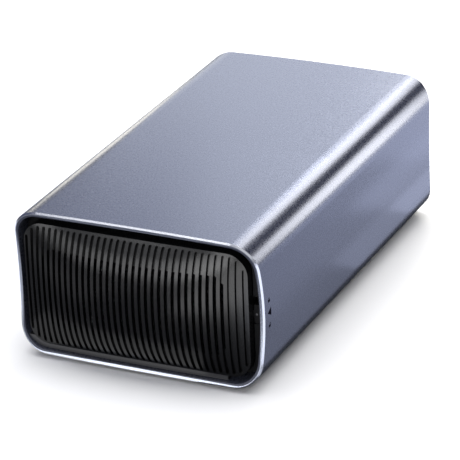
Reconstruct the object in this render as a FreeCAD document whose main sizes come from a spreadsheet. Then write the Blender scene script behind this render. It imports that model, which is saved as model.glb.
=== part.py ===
import FreeCAD, Part
import math
import os
import re
import Sketcher
from FreeCAD import Placement, Rotation, Vector

# Dual bay hard drive enclosure, in millimetres.
# +Z is up, the slatted front faces -Y, and the origin is under the middle of the part.

# Driving dimensions, one sheet cell each.
SIZES = {
    # Extruded outer shell
    "shell_length": 215,
    "shell_width": 125,
    "shell_height": 73.3,
    "side_crown": 1.73,
    "top_crown": 0.9,
    "corner_radius": 14,
    "shell_wall": 2.2,
    "rim_chamfer": 0.8,
    "front_hollow": 5.3,
    "rear_hollow": 6.8,
    "rail_width": 9,
    "rail_height": 1.9,
    "rail_end_gap": 20,
    # Rubber feet
    "foot_radius": 6,
    "foot_proud": 1.7,
    "foot_recess": 1.2,
    "foot_chamfer": 0.5,
    "foot_x": 40,
    "foot_inset": 32,
    # Clearances
    "slip_gap": 0.3,
    "shaft_gap": 0.05,
    "screw_gap": 0.1,
    # Slatted front cover
    "cover_half_width": 56.4,
    "cover_half_height": 30.6,
    "cover_corner": 10,
    "cover_drop": 0.5,
    "cover_setback": 2.6,
    "cover_rise": 10,
    "cover_fullness": 0.5,
    "cover_side_fullness": 0.25,
    "cover_overhang": 0.8,
    "cover_skirt": 1.8,
    "cover_backing": 1.8,
    "slat_depth": 1.8,
    "slit_pitch": 3.22,
    "slit_width": 1.6,
    "slit_margin": 1.0,
    "slit_side_margin": 1.6,
    "window_half_width": 46.5,
    "window_half_height": 19.6,
    "window_chamfer": 5.2,
    "window_overlap": 0.2,
    # Frame behind the cover
    "frame_setback": 12.4,
    "frame_thickness": 2.6,
    "lip_setback": 4.0,
    "lip_end_x": 44.5,
    "lip_climb": 3,
    "side_lip_setback": 7.0,
    "side_lip_start": 2,
    "tab_length": 3.5,
    "tab_height": 24,
    # Lock slider in the right gap
    "lock_length": 9,
    "lock_travel": 4,
    "lock_depth": 3.6,
    "tongue_reach": 1.0,
    "tongue_height": 3,
    "tongue_depth": 1.6,
    # Drives and their cage
    "drive_length": 147,
    "drive_width": 101.6,
    "drive_height": 26.1,
    "bay_play": 0.7,
    "bay_side_play": 0.6,
    "plate_thickness": 1.2,
    "cage_wall": 2.5,
    "ledge_width": 4,
    "ledge_thickness": 2,
    "boss_radius": 2.7,
    "boss_length": 12,
    "boss_spread": 17,
    "post_width": 5,
    "vent_length": 26,
    "vent_height": 14,
    "vent_pitch": 36,
    # Boards and their parts
    "board_thickness": 1.6,
    "board_height": 52,
    "connector_width": 38,
    "connector_height": 7,
    "connector_depth": 8,
    "connector_rise": 1.2,
    "key_slot": 2.4,
    "data_slot": 10,
    "power_slot": 21,
    "main_board_x": 26,
    "link_width": 8,
    "link_depth": 5.5,
    "link_height": 44,
    "chip_side": 13,
    "chip_height": 1.2,
    "sink_side": 22,
    "sink_height": 8,
    "sink_base": 1.6,
    "fin_count": 6,
    "fin_thickness": 1.2,
    "can_radius": 3.15,
    "can_height": 8,
    "can_pitch": 9,
    # Rear panel
    "panel_setback": 2.0,
    "panel_thickness": 2.2,
    "port_gap": 0.25,
    "usb_width": 9,
    "usb_thickness": 3.2,
    "usb_depth": 8,
    "usb_wall": 0.35,
    "usb_tongue": 0.7,
    "usb_z": 11,
    "jack_side": 9,
    "jack_depth": 13,
    "jack_bore": 3.2,
    "jack_pin": 1.0,
    "jack_z": -20,
    "button_x": 33,
    "button_radius": 3.5,
    "button_proud": 0.9,
    "button_travel": 0.8,
    "button_flange": 0.9,
    "flange_thickness": 1.2,
    "power_z": 22,
    "set_radius": 1.4,
    "set_sink": 0.8,
    "set_z": 1.5,
    "switch_side": 6,
    "switch_depth": 5,
    "mode_width": 8.4,
    "mode_thickness": 6,
    "mode_depth": 7,
    "mode_z": -7,
    "nib_length": 1.6,
    "nib_width": 1.2,
    "nib_travel": 1.6,
    "nib_pitch": 3.6,
    # Fan
    "fan_side": 60,
    "fan_depth": 15,
    "fan_x": -16,
    "fan_bore": 28.75,
    "fan_hole_pitch": 50,
    "fan_corner": 4,
    "blade_gap": 0.9,
    "blade_count": 7,
    "blade_angle": 38,
    "blade_thickness": 1.0,
    "hub_radius": 13,
    "hub_wall": 1.6,
    "hub_gap": 0.6,
    "strut_width": 3,
    "base_thickness": 2.4,
    "bearing_radius": 4,
    "shaft_radius": 1.5,
    "fan_slit_pitch": 3.6,
    "fan_slit_width": 2.2,
    # Screws
    "small_screw": 0.8,
    "small_head": 1.6,
    "small_head_height": 0.9,
    "small_screw_length": 4.4,
    "case_screw": 1.2,
    "case_head": 2.4,
    "case_head_height": 1.3,
    "case_screw_length": 9,
    "foot_screw_length": 4.8,
    "fan_screw": 2.0,
    "fan_head": 3.2,
    "fan_head_height": 1.6,
    "fan_screw_length": 9,
}

# Places worked out from the driving dimensions.
LAYOUT = {
    "rear_arc": "(shell_height^2 / 4 + rear_hollow^2) / (2 * rear_hollow)",
    "rear_trim": "rim_chamfer * shell_height / (2 * rear_arc)",
    "front_y": "-(shell_length - rear_trim + cover_setback - cover_rise) / 2",
    "rear_y": "front_y + shell_length",
    "mid_z": "foot_proud + shell_height / 2",
    "top_arc": "((shell_width / 2 - side_crown)^2 + top_crown^2) / (2 * top_crown)",
    "side_arc": "((shell_height / 2 - top_crown)^2 + side_crown^2) / (2 * side_crown)",
    "front_arc": "(shell_height^2 / 4 + front_hollow^2) / (2 * front_hollow)",
    "lining": "shell_wall + slip_gap",
    "inner_half_width": "shell_width / 2 - shell_wall",
    "rail_z": "foot_proud + shell_wall + rail_height",
    "cage_z": "rail_z + plate_thickness",
    "bay_pitch": "drive_height + bay_play + ledge_thickness",
    "lower_bay_z": "cage_z + ledge_thickness",
    "cage_height": "2 * bay_pitch",
    "bay_half_width": "drive_width / 2 + bay_side_play",
    "cage_half_width": "bay_half_width + cage_wall",
    "boss_x": "cage_half_width + boss_radius - slip_gap",
    "cover_z": "mid_z - cover_drop",
    "frame_y": "front_y + frame_setback",
    "bay_y": "frame_y + frame_thickness",
    "plug_y": "bay_y + drive_length + bay_play",
    "backplane_y": "plug_y + connector_depth",
    "panel_y": "rear_y - rear_hollow - panel_setback",
    "panel_in_y": "panel_y - panel_thickness",
    "port_x": "main_board_x + board_thickness",
    "board_rear_y": "panel_in_y - slip_gap",
}

doc = FreeCAD.newDocument("drive_enclosure")
sheet = doc.addObject("Spreadsheet::Sheet", "Sizes")
for row, (alias, number) in enumerate(SIZES.items(), start=1):
    sheet.set(f"A{row}", alias)
    sheet.set(f"B{row}", str(number))
    sheet.setAlias(f"B{row}", alias)
doc.recompute()

layout = doc.addObject("App::VarSet", "Layout")


def qualify(match):
    """Put the owner's name before a word that names a size or a place."""
    word = match.group(0)
    if word in SIZES:
        return "Sizes." + word
    if word in LAYOUT:
        return "Layout." + word
    return word


def formula(text):
    """Turn a formula in plain size names into one that the document reads."""
    return re.sub(r"[a-z][a-z_0-9]*", qualify, str(text))


for place_name, place_formula in LAYOUT.items():
    layout.addProperty("App::PropertyFloat", place_name, "Layout")
    layout.setExpression(place_name, formula(place_formula))
doc.recompute()


def value(name):
    """Read a size or a place as a number."""
    if name in SIZES:
        return float(sheet.get(name))
    return getattr(layout, name)


nodes = []


def keep(piece):
    """Count a finished piece among those that are written."""
    nodes.append(piece)
    return piece


def bind(piece, **formulas):
    """Bind properties of a piece to formulas."""
    for prop, text in formulas.items():
        piece.setExpression(prop, formula(text))
    return piece


def place(piece, x, y, z):
    """Bind where a piece stands."""
    for axis, text in zip("xyz", (x, y, z)):
        piece.setExpression(f"Placement.Base.{axis}", formula(text))
    return piece


def block(name, x, y, z):
    """Box between the low and high formulas given for each axis."""
    piece = doc.addObject("Part::Box", name)
    for prop, (low, high) in zip(("Length", "Width", "Height"), (x, y, z)):
        piece.setExpression(prop, formula(f"({high}) - ({low})"))
    return place(piece, x[0], y[0], z[0])


TURNS = {
    "x": Rotation(Vector(0, 1, 0), 90),
    "y": Rotation(Vector(1, 0, 0), -90),
    "z": Rotation(),
}


def rod(name, axis, start, radius, length):
    """Cylinder that runs along an axis from its start point."""
    piece = doc.addObject("Part::Cylinder", name)
    piece.Placement = Placement(Vector(), TURNS[axis])
    bind(piece, Radius=radius, Height=length)
    return place(piece, *start)


def fuse(name, pieces):
    piece = doc.addObject("Part::MultiFuse", name)
    piece.Shapes = pieces
    return piece


def cut(name, base, tools):
    tool = tools[0]
    if len(tools) > 1:
        tool = fuse(name + "_openings", tools)
    piece = doc.addObject("Part::Cut", name)
    piece.Base = base
    piece.Tool = tool
    return piece


def mirrored(side, low, high):
    """Low and high formulas on the right (+1) or, mirrored, on the left (-1)."""
    if side > 0:
        return (low, high)
    return (f"-({high})", f"-({low})")


def around(middle, size):
    """Low and high formulas of a size centred on a place."""
    return (f"({middle}) - ({size}) / 2", f"({middle}) + ({size}) / 2")


# Crowned profile shared by the shell, the frame and the rear panel

def plane_of(body, role):
    return [face for face in body.Origin.OriginFeatures if face.Role == role][0]


def new_sketch(body, name, role):
    sketch = body.newObject("Sketcher::SketchObject", name)
    sketch.AttachmentSupport = [(plane_of(body, role), "")]
    sketch.MapMode = "FlatFace"
    return sketch


def constrain(sketch, name, constraint, text):
    """Add a named constraint whose value follows a formula."""
    sketch.renameConstraint(sketch.addConstraint(constraint), name)
    sketch.setExpression("Constraints." + name, formula(text))


def corner_centre():
    """Centre of the top right corner arc, which touches both crowned arcs inside."""
    corner = value("corner_radius")
    top_reach = value("top_arc") - corner
    side_reach = value("side_arc") - corner
    top_centre = Vector(0, value("shell_height") / 2 - value("top_arc"), 0)
    side_centre = Vector(value("shell_width") / 2 - value("side_arc"), 0, 0)
    line = side_centre - top_centre
    along = (top_reach ** 2 - side_reach ** 2 + line.Length ** 2) / (2 * line.Length)
    off = math.sqrt(top_reach ** 2 - along ** 2)
    unit = line / line.Length
    return top_centre + unit * along + Vector(unit.y, -unit.x, 0) * off


def crowned_sketch(body, name, inset):
    """Four crowned sides and four corners in tangent arcs, the shell's outline moved in by an inset."""
    inset_now = value(inset) if inset else 0
    inset_text = inset if inset else "0"
    top_arc = value("top_arc") - inset_now
    side_arc = value("side_arc") - inset_now
    corner = value("corner_radius") - inset_now
    top_centre = Vector(0, value("shell_height") / 2 - value("top_arc"), 0)
    side_centre = Vector(value("shell_width") / 2 - value("side_arc"), 0, 0)
    middle = corner_centre()
    normal = Vector(0, 0, 1)
    to_top = (middle - top_centre).getAngle(Vector(1, 0, 0))
    to_side = (middle - side_centre).getAngle(Vector(1, 0, 0))
    half_turn = math.pi
    arcs = (
        (top_centre, top_arc, to_top, half_turn - to_top),
        (Vector(-middle.x, middle.y, 0), corner, half_turn - to_top, half_turn - to_side),
        (-side_centre, side_arc, half_turn - to_side, half_turn + to_side),
        (-middle, corner, half_turn + to_side, half_turn + to_top),
        (-top_centre, top_arc, half_turn + to_top, 2 * half_turn - to_top),
        (Vector(middle.x, -middle.y, 0), corner, 2 * half_turn - to_top, 2 * half_turn - to_side),
        (side_centre, side_arc, -to_side, to_side),
        (middle, corner, to_side, to_top),
    )
    sketch = new_sketch(body, name, "XZ_Plane")
    sketch.addGeometry([Part.ArcOfCircle(Part.Circle(centre, normal, radius), start, end)
                        for centre, radius, start, end in arcs])
    at_start, at_end, at_centre = 1, 2, 3
    origin, across, upright = -1, -1, -2
    for arc in range(len(arcs)):
        following = (arc + 1) % len(arcs)
        sketch.addConstraint(Sketcher.Constraint("Tangent", arc, at_end, following, at_start))
    sides = ((0, "top", upright), (2, "left", across), (4, "bottom", upright), (6, "right", across))
    for arc, name, axis in sides:
        kind, size, bow = (("DistanceY", "shell_height", "top_arc") if axis == upright
                           else ("DistanceX", "shell_width", "side_arc"))
        sketch.addConstraint(Sketcher.Constraint("PointOnObject", arc, at_centre, axis))
        constrain(sketch, f"{name}_bow", Sketcher.Constraint("Radius", arc, arcs[arc][1]),
                  f"{bow} - {inset_text}")
        ends = (arc, at_centre, origin, at_start)
        if name in ("left", "bottom"):
            ends = (origin, at_start, arc, at_centre)
        constrain(sketch, f"{name}_centre", Sketcher.Constraint(kind, *ends, value(bow) - value(size) / 2),
                  f"{bow} - {size} / 2")
    for arc in (1, 3, 5, 7):
        constrain(sketch, f"corner_{arc}", Sketcher.Constraint("Radius", arc, corner),
                  f"corner_radius - {inset_text}")
    return sketch


def edge_names(shape, wanted):
    """Names of the edges that a test picks."""
    return [f"Edge{number}" for number, edge in enumerate(shape.Edges, start=1) if wanted(edge)]


def runs_along_y(edge):
    if len(edge.Vertexes) != 2 or edge.Curve.TypeId != "Part::GeomLine":
        return False
    start, end = (vertex.Point for vertex in edge.Vertexes)
    return math.hypot(start.x - end.x, start.z - end.z) < Part.Precision.confusion() * 100


def crowned_pad(body, name, inset, length):
    """Solid bar of the crowned profile."""
    pad = body.newObject("PartDesign::Pad", name + "_pad")
    pad.Profile = crowned_sketch(body, name + "_profile", inset)
    pad.Reversed = True
    return bind(pad, Length=length)


def new_body(name, y, z):
    body = doc.addObject("PartDesign::Body", name)
    place(body, "0", y, z)
    return body


# Outer shell

def end_cut(body, name, arc, centre_y):
    """Hollow out one end of the shell with a wide cylinder across it."""
    sketch = new_sketch(body, name + "_circle", "YZ_Plane")
    number = sketch.addGeometry(Part.Circle(Vector(), Vector(0, 0, 1), value(arc)))
    middle, origin, across = 3, -1, -1
    sketch.addConstraint(Sketcher.Constraint("PointOnObject", number, middle, across))
    constrain(sketch, "arc_radius", Sketcher.Constraint("Radius", number, value(arc)), arc)
    constrain(sketch, "arc_place",
              Sketcher.Constraint("DistanceX", origin, 1, number, middle, 1), centre_y)
    pocket = body.newObject("PartDesign::Pocket", name)
    pocket.Profile = sketch
    pocket.SideType = "Symmetric"
    bind(pocket, Length="2 * shell_width")
    doc.recompute()
    return pocket


def outer_rim(shape, arc):
    """Outer edges of the hollow end faces that a cylinder of this radius left."""
    rims = []
    for face in shape.Faces:
        if face.Surface.TypeId == "Part::GeomCylinder":
            if abs(face.Surface.Radius - value(arc)) < value("shaft_gap"):
                rims += face.OuterWire.Edges
    return edge_names(shape, lambda edge: any(edge.isSame(rim) for rim in rims))


def foot_places():
    """Name, side and distance from the front rim of each foot."""
    for side, side_name in ((-1, "left"), (1, "right")):
        yield f"front_{side_name}", side, "foot_inset"
        yield f"rear_{side_name}", side, "shell_length - foot_inset"


def make_shell():
    body = new_body("outer_shell", "front_y", "mid_z")
    crowned_pad(body, "sleeve", None, "shell_length")
    bore = body.newObject("PartDesign::Pocket", "sleeve_bore")
    bore.Profile = crowned_sketch(body, "bore_profile", "shell_wall")
    bore.Type = "ThroughAll"
    doc.recompute()
    end_cut(body, "front_end", "front_arc", "front_hollow - front_arc")
    end_cut(body, "rear_end", "rear_arc", "shell_length + rear_arc - rear_hollow")
    bottom = "-shell_height / 2"
    for side, side_name in ((-1, "left"), (1, "right")):
        rail = body.newObject("PartDesign::AdditiveBox", f"rail_{side_name}")
        bind(rail, Length="rail_width", Width="shell_length - 2 * rail_end_gap",
             Height="rail_height + shell_wall / 2")
        place(rail, f"{side} * foot_x - rail_width / 2", "rail_end_gap", f"{bottom} + shell_wall / 2")
    for name, side, y in foot_places():
        recess = body.newObject("PartDesign::SubtractiveCylinder", f"recess_{name}")
        bind(recess, Radius="foot_radius + slip_gap", Height="foot_recess + shell_wall")
        place(recess, f"{side} * foot_x", y, f"{bottom} - shell_wall")
        hole = body.newObject("PartDesign::SubtractiveCylinder", f"hole_{name}")
        bind(hole, Radius="case_screw + screw_gap", Height="shell_wall + rail_height")
        place(hole, f"{side} * foot_x", y, bottom)
        sink = body.newObject("PartDesign::SubtractiveCone", f"sink_{name}")
        bind(sink, Radius1="case_head + screw_gap", Radius2="case_screw + screw_gap",
             Height="case_head_height")
        place(sink, f"{side} * foot_x", y, f"{bottom} + foot_recess")
    doc.recompute()
    base = body.Tip
    chamfer = body.newObject("PartDesign::Chamfer", "rim_bevel")
    chamfer.Base = (base, outer_rim(base.Shape, "front_arc") + outer_rim(base.Shape, "rear_arc"))
    bind(chamfer, Size="rim_chamfer")
    keep(body)


def make_feet():
    for name, side, y in foot_places():
        body = doc.addObject("PartDesign::Body", f"foot_{name}")
        place(body, f"{side} * foot_x", f"front_y + {y}", "0")
        disc = body.newObject("PartDesign::AdditiveCylinder", f"disc_{name}")
        bind(disc, Radius="foot_radius", Height="foot_proud + foot_recess")
        doc.recompute()
        bevel = body.newObject("PartDesign::Chamfer", f"bevel_{name}")
        bevel.Base = (disc, edge_names(disc.Shape, lambda edge: edge.BoundBox.ZMax < value("foot_chamfer")))
        bind(bevel, Size="foot_chamfer")
        keep(body)


# Slatted front cover

def swell(fullness):
    """Pole heights of a curve that rises from 0 to 1 and back; without fullness it is a parabola."""
    return (0, 1 + fullness, 4 * (1 - fullness) / 3, 1 + fullness, 0)


def crown_face(offset):
    """Front of the cover as one polynomial patch, moved back by an offset."""
    half_x = value("cover_half_width") + value("cover_overhang")
    half_z = value("cover_half_height") + value("cover_overhang")
    across = swell(value("cover_side_fullness"))
    upright = swell(value("cover_fullness"))
    border_y = value("front_y") + value("cover_setback") + offset
    patch = Part.BezierSurface()
    patch.increase(len(across) - 1, len(upright) - 1)
    for column, weight_x in enumerate(across):
        x = half_x * (2 * column / (len(across) - 1) - 1)
        for row, weight_z in enumerate(upright):
            z = value("cover_z") + half_z * (2 * row / (len(upright) - 1) - 1)
            y = border_y - value("cover_rise") * weight_x * weight_z
            patch.setPole(column + 1, row + 1, Vector(x, y, z))
    return patch.toShape()


def rounded_prism(half_x, half_z, radius, y, length):
    """Bar of rounded rectangular section, centred on the cover."""
    bar = Part.makeBox(2 * half_x, length, 2 * half_z,
                       Vector(-half_x, y, value("cover_z") - half_z))
    return bar.makeFillet(radius, [edge for edge in bar.Edges if runs_along_y(edge)])


def cover_prism(margin, y, length):
    """The cover's outline, moved out by a margin and drawn along Y."""
    return rounded_prism(value("cover_half_width") + margin, value("cover_half_height") + margin,
                         value("cover_corner") + margin, y, length)


def slit_half_length(x):
    """Half length of the slit at x, so that all slits end at one margin from the outline."""
    radius = value("cover_corner") - value("slit_margin")
    into_corner = abs(x) - (value("cover_half_width") - value("cover_corner"))
    straight = value("cover_half_height") - value("cover_corner")
    return straight + math.sqrt(radius ** 2 - max(into_corner, 0) ** 2)


def slit_prism(x, y, length):
    """Bar with round ends that cuts one slit."""
    width = value("slit_width")
    half = slit_half_length(x)
    bar = Part.makeBox(width, length, 2 * half, Vector(x - width / 2, y, value("cover_z") - half))
    ends = [edge for edge in bar.Edges if runs_along_y(edge)]
    return bar.makeFillet(width / 2 - value("shaft_gap"), ends)


def window_prism(y, length):
    """Bar of the chamfered window behind the slats."""
    half_x = value("window_half_width")
    half_z = value("window_half_height")
    bar = Part.makeBox(2 * half_x, length, 2 * half_z, Vector(-half_x, y, value("cover_z") - half_z))
    return bar.makeChamfer(value("window_chamfer"), [edge for edge in bar.Edges if runs_along_y(edge)])


def lock_z():
    """Height of the lower end of the lock's tongue at rest."""
    return value("mid_z") - value("tongue_height") / 2


def lock_slot():
    """L-shaped slot in the right side of the skirt for the lock's tongue."""
    gap = value("slip_gap")
    tongue_y = value("front_y") + value("side_lip_setback") + value("slip_gap")
    x = value("cover_half_width") - value("tongue_reach") - gap
    back_y = value("frame_y")
    low = lock_z() - gap
    height = value("tongue_height") + 2 * gap
    depth = value("tongue_depth") + 2 * gap
    wide = value("tongue_reach") + 2 * gap
    entry = Part.makeBox(wide, back_y - tongue_y + gap, height, Vector(x, tongue_y - gap, low))
    rest = Part.makeBox(wide, depth, height + value("lock_travel"), Vector(x, tongue_y - gap, low))
    return entry.fuse(rest)


def make_cover():
    near_y = value("front_y") - value("cover_rise")
    back_y = value("frame_y") - value("slip_gap")
    reach = 3 * value("cover_rise")
    outline = cover_prism(0, near_y, back_y - near_y)
    hollow = cover_prism(-value("cover_skirt"), near_y, reach)
    thickness = value("slat_depth") + value("cover_backing")
    behind_front = crown_face(0).extrude(Vector(0, reach, 0))
    face_layer = crown_face(0).extrude(Vector(0, thickness, 0)).common(outline)
    skirt = behind_front.common(outline.cut(hollow))
    body = face_layer.fuse(skirt)

    span = 2 * (value("cover_half_width") - value("slit_side_margin"))
    count = int(span / value("slit_pitch")) + 1
    first_x = -(count - 1) * value("slit_pitch") / 2
    slits = []
    for number in range(count):
        slits.append(slit_prism(first_x + number * value("slit_pitch"), near_y - reach, 2 * reach))
    before_floor = crown_face(value("slat_depth")).extrude(Vector(0, -reach, 0))
    slit_tools = Part.makeCompound(slits).common(before_floor)

    window_face = crown_face(value("slat_depth") - value("window_overlap"))
    window = window_prism(near_y, 2 * reach).common(window_face.extrude(Vector(0, reach, 0)))

    feature = doc.addObject("Part::Feature", "grille_cover")
    feature.Shape = body.cut([slit_tools, window, lock_slot()])
    feature.Placement = Placement()
    keep(feature)


# Front frame and lock

def make_frame():
    plate_body = new_body("frame_plate", "frame_y", "mid_z")
    crowned_pad(plate_body, "frame", "lining", "frame_thickness")
    lip_body = new_body("frame_lips", "front_y + lip_setback", "mid_z")
    crowned_pad(lip_body, "lips", "lining", "frame_setback - lip_setback")
    doc.recompute()

    mouth = doc.addObject("Part::Feature", "cover_mouth")
    mouth.Shape = cover_prism(value("slip_gap"), value("front_y"), value("frame_setback"))
    low_z = "cover_z - cover_half_height"
    wide = "shell_width / 2"
    lower_part = block("lower_lip_zone", (f"-{wide}", "lip_end_x"),
                       ("front_y + lip_setback", "frame_y"), ("0", f"{low_z} + lip_climb"))
    side_part = block("side_lip_zone", ("lip_end_x", wide),
                      ("front_y + side_lip_setback", "frame_y"),
                      (f"{low_z} + side_lip_start", f"{low_z} + 2 * cover_half_height - side_lip_start"))
    zones = fuse("lip_zones", [lower_part, side_part])
    ring = cut("lip_ring", lip_body, [mouth])
    lips = doc.addObject("Part::Common", "frame_lip_pieces")
    lips.Base = ring
    lips.Tool = zones

    tab_inner = "bay_half_width"
    tab_outer = "cover_half_width - cover_skirt - slip_gap"
    tabs = []
    for side, side_name in ((-1, "left"), (1, "right")):
        low_high = around("cover_z", "tab_height")
        tabs.append(block(f"tab_{side_name}", mirrored(side, tab_inner, tab_outer),
                          ("frame_y - tab_length", "frame_y"), low_high))
    mouth_low = "lower_bay_z - slip_gap"
    mouth_high = "cage_z + cage_height"
    bay_mouth = block("bay_mouth", ("-bay_half_width", "bay_half_width"),
                      ("frame_y - tab_length", "bay_y + frame_thickness"), (mouth_low, mouth_high))
    room_y = "front_y + side_lip_setback"
    lock_room = block("lock_room", ("cover_half_width", "shell_width / 2"),
                      (room_y, f"{room_y} + lock_depth + 2 * slip_gap"),
                      ("mid_z - lock_length / 2 - slip_gap",
                       "mid_z + lock_length / 2 + lock_travel + slip_gap"))
    tools = [bay_mouth, lock_room]
    for side in (-1, 1):
        for level in (-1, 1):
            start = (f"{side} * boss_x", "frame_y", f"mid_z + {level} * boss_spread")
            tag = f"{side + 1}{level + 1}"
            tools.append(rod(f"frame_hole_{tag}", "y", start, "case_screw + screw_gap", "frame_thickness"))
            sink = doc.addObject("Part::Cone", f"frame_sink_{tag}")
            sink.Placement = Placement(Vector(), TURNS["y"])
            bind(sink, Radius1="case_head + screw_gap", Radius2="case_screw + screw_gap",
                 Height="case_head_height")
            tools.append(place(sink, *start))
    solid = fuse("frame_solid", [plate_body, lips] + tabs)
    keep(cut("front_frame", solid, tools))


def make_lock():
    low_y = "front_y + side_lip_setback + slip_gap"
    slide = block("lock_slide", ("cover_half_width + slip_gap", "inner_half_width - 2 * slip_gap"),
                  (low_y, f"{low_y} + lock_depth"), around("mid_z", "lock_length"))
    tongue = block("lock_tongue", ("cover_half_width - tongue_reach", "cover_half_width + 2 * slip_gap"),
                   (low_y, f"{low_y} + tongue_depth"), around("mid_z", "tongue_height"))
    keep(fuse("lock_slider", [slide, tongue]))


# Drive cage

def make_cage():
    top_z = "cage_z + cage_height"
    floor = block("floor_plate", ("-bay_half_width", "bay_half_width"), ("bay_y", "panel_in_y - slip_gap"),
                  ("rail_z", "cage_z"))
    nuts = []
    nut_holes = []
    for name, side, y in foot_places():
        centre = (f"{side} * foot_x", f"front_y + {y}")
        nuts.append(rod(f"nut_{name}", "z", (*centre, "cage_z - plate_thickness / 2"),
                        "2 * case_screw", "plate_thickness / 2 + ledge_thickness - 2 * slip_gap"))
        nut_holes.append(rod(f"nut_hole_{name}", "z", (*centre, "rail_z"),
                             "case_screw + screw_gap", "plate_thickness + ledge_thickness"))
    floor_holes = [rod(f"floor_hole_{tag}", "z", (x, y, "rail_z"), "small_screw + screw_gap",
                       "plate_thickness") for tag, x, y in cage_screw_places("ledge_mid_x")]
    keep(cut("cage_floor", fuse("floor_with_nuts", [floor] + nuts), nut_holes + floor_holes))

    for side, side_name in ((-1, "left"), (1, "right")):
        make_cage_side(side, side_name, top_z)
        make_rails(side, side_name)
        make_posts(side, side_name)

    lid = block("lid_plate", ("-cage_half_width", "cage_half_width"), ("bay_y", "backplane_y"),
                (top_z, f"{top_z} + plate_thickness"))
    holes = [rod(f"lid_hole_{tag}", "z", (x, y, top_z), "small_screw + screw_gap", "plate_thickness")
             for tag, x, y in cage_screw_places("wall_mid_x")]
    for row in (-1, 0, 1):
        for column in (-1, 1):
            holes.append(block(f"lid_vent_{row + 1}_{column + 1}",
                               around(f"{column} * vent_pitch * 2 / 3", "vent_length"),
                               around(f"bay_y + drive_length / 2 + {row} * vent_pitch", "vent_height"),
                               (top_z, f"{top_z} + plate_thickness")))
    keep(cut("cage_top", lid, holes))


def make_cage_side(side, side_name, top_z):
    """Upright wall with air openings and screw bosses at both ends."""
    pieces = [block(f"wall_{side_name}", mirrored(side, "bay_half_width", "cage_half_width"),
                    ("bay_y", "panel_in_y"), ("cage_z", top_z))]
    holes = []
    for level in (-1, 1):
        for end, y in (("front", "bay_y"), ("rear", "panel_in_y - boss_length")):
            tag = f"{side_name}_{end}_{level + 1}"
            start = (f"{side} * boss_x", y, f"mid_z + {level} * boss_spread")
            pieces.append(rod(f"boss_{tag}", "y", start, "boss_radius", "boss_length"))
            holes.append(rod(f"boss_hole_{tag}", "y", start, "case_screw + screw_gap", "boss_length"))
    for bay in (0, 1):
        for window in (-1, 0, 1):
            middle_y = f"bay_y + drive_length / 2 + {window} * vent_pitch"
            middle_z = f"lower_bay_z + drive_height / 2 + {bay} * bay_pitch"
            holes.append(block(f"side_vent_{side_name}_{bay}_{window + 1}",
                               mirrored(side, "bay_half_width - slip_gap", "cage_half_width + slip_gap"),
                               around(middle_y, "vent_length"), around(middle_z, "vent_height")))
    for tag, x, y in cage_screw_places("wall_mid_x"):
        if x.startswith("-") == (side < 0):
            holes.append(rod(f"wall_hole_{tag}", "z", (x, y, f"{top_z} - small_screw_length"),
                             "small_screw + screw_gap", "small_screw_length"))
    keep(cut(f"cage_side_{side_name}", fuse(f"side_{side_name}", pieces), holes))


def make_rails(side, side_name):
    """Two rails on one wall that the drives slide on."""
    for level, name in ((0, "lower"), (1, "upper")):
        low = f"cage_z + {level} * bay_pitch"
        node = f"drive_rail_{name}_{side_name}"
        box = (mirrored(side, "bay_half_width - ledge_width", "bay_half_width"), ("bay_y", "plug_y"),
               (low, f"{low} + ledge_thickness"))
        if name == "upper":
            keep(block(node, *box))
            continue
        holes = [rod(f"rail_hole_{tag}", "z", (x, y, low), "small_screw + screw_gap", "ledge_thickness")
                 for tag, x, y in cage_screw_places("ledge_mid_x") if x.startswith("-") == (side < 0)]
        keep(cut(node, block(node + "_bar", *box), holes))


def make_posts(side, side_name):
    """Two posts on one wall that carry the backplane."""
    tall = "(post_width + ledge_thickness)"
    for name, low in (("lower", "cage_z"), ("upper", f"cage_z + cage_height - {tall}")):
        node = f"board_post_{name}_{side_name}"
        bar = block(node + "_bar", mirrored(side, "bay_half_width - post_width", "bay_half_width"),
                    ("plug_y", "backplane_y"), (low, f"{low} + {tall}"))
        x, z = [(x, z) for tag, x, z in board_screw_places() if tag == f"{side_name}_{name}"][0]
        hole = rod(node + "_hole", "y", (x, "backplane_y - small_screw_length", z), "small_screw + screw_gap",
                   "small_screw_length")
        keep(cut(node, bar, [hole]))


SCREW_LINES = {
    "wall_mid_x": "(bay_half_width + cage_wall / 2)",
    "ledge_mid_x": "(bay_half_width - ledge_width / 2)",
}


def cage_screw_places(line):
    """Tag, x and y of the four screws along one line of the cage."""
    for side, sign in (("left", "-"), ("right", "")):
        yield f"{line}_{side}_0", sign + SCREW_LINES[line], "bay_y + vent_pitch / 2"
        yield f"{line}_{side}_1", sign + SCREW_LINES[line], "plug_y - vent_pitch / 2"


def board_screw_places():
    """Tag, x and z of the four screws that hold the backplane."""
    x = "(bay_half_width - post_width / 2)"
    low = "cage_z + (post_width + ledge_thickness) / 2"
    high = "cage_z + cage_height - (post_width + ledge_thickness) / 2"
    for side, sign in (("left", "-"), ("right", "")):
        yield f"{side}_lower", sign + x, low
        yield f"{side}_upper", sign + x, high


# Boards, connectors and their parts

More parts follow.
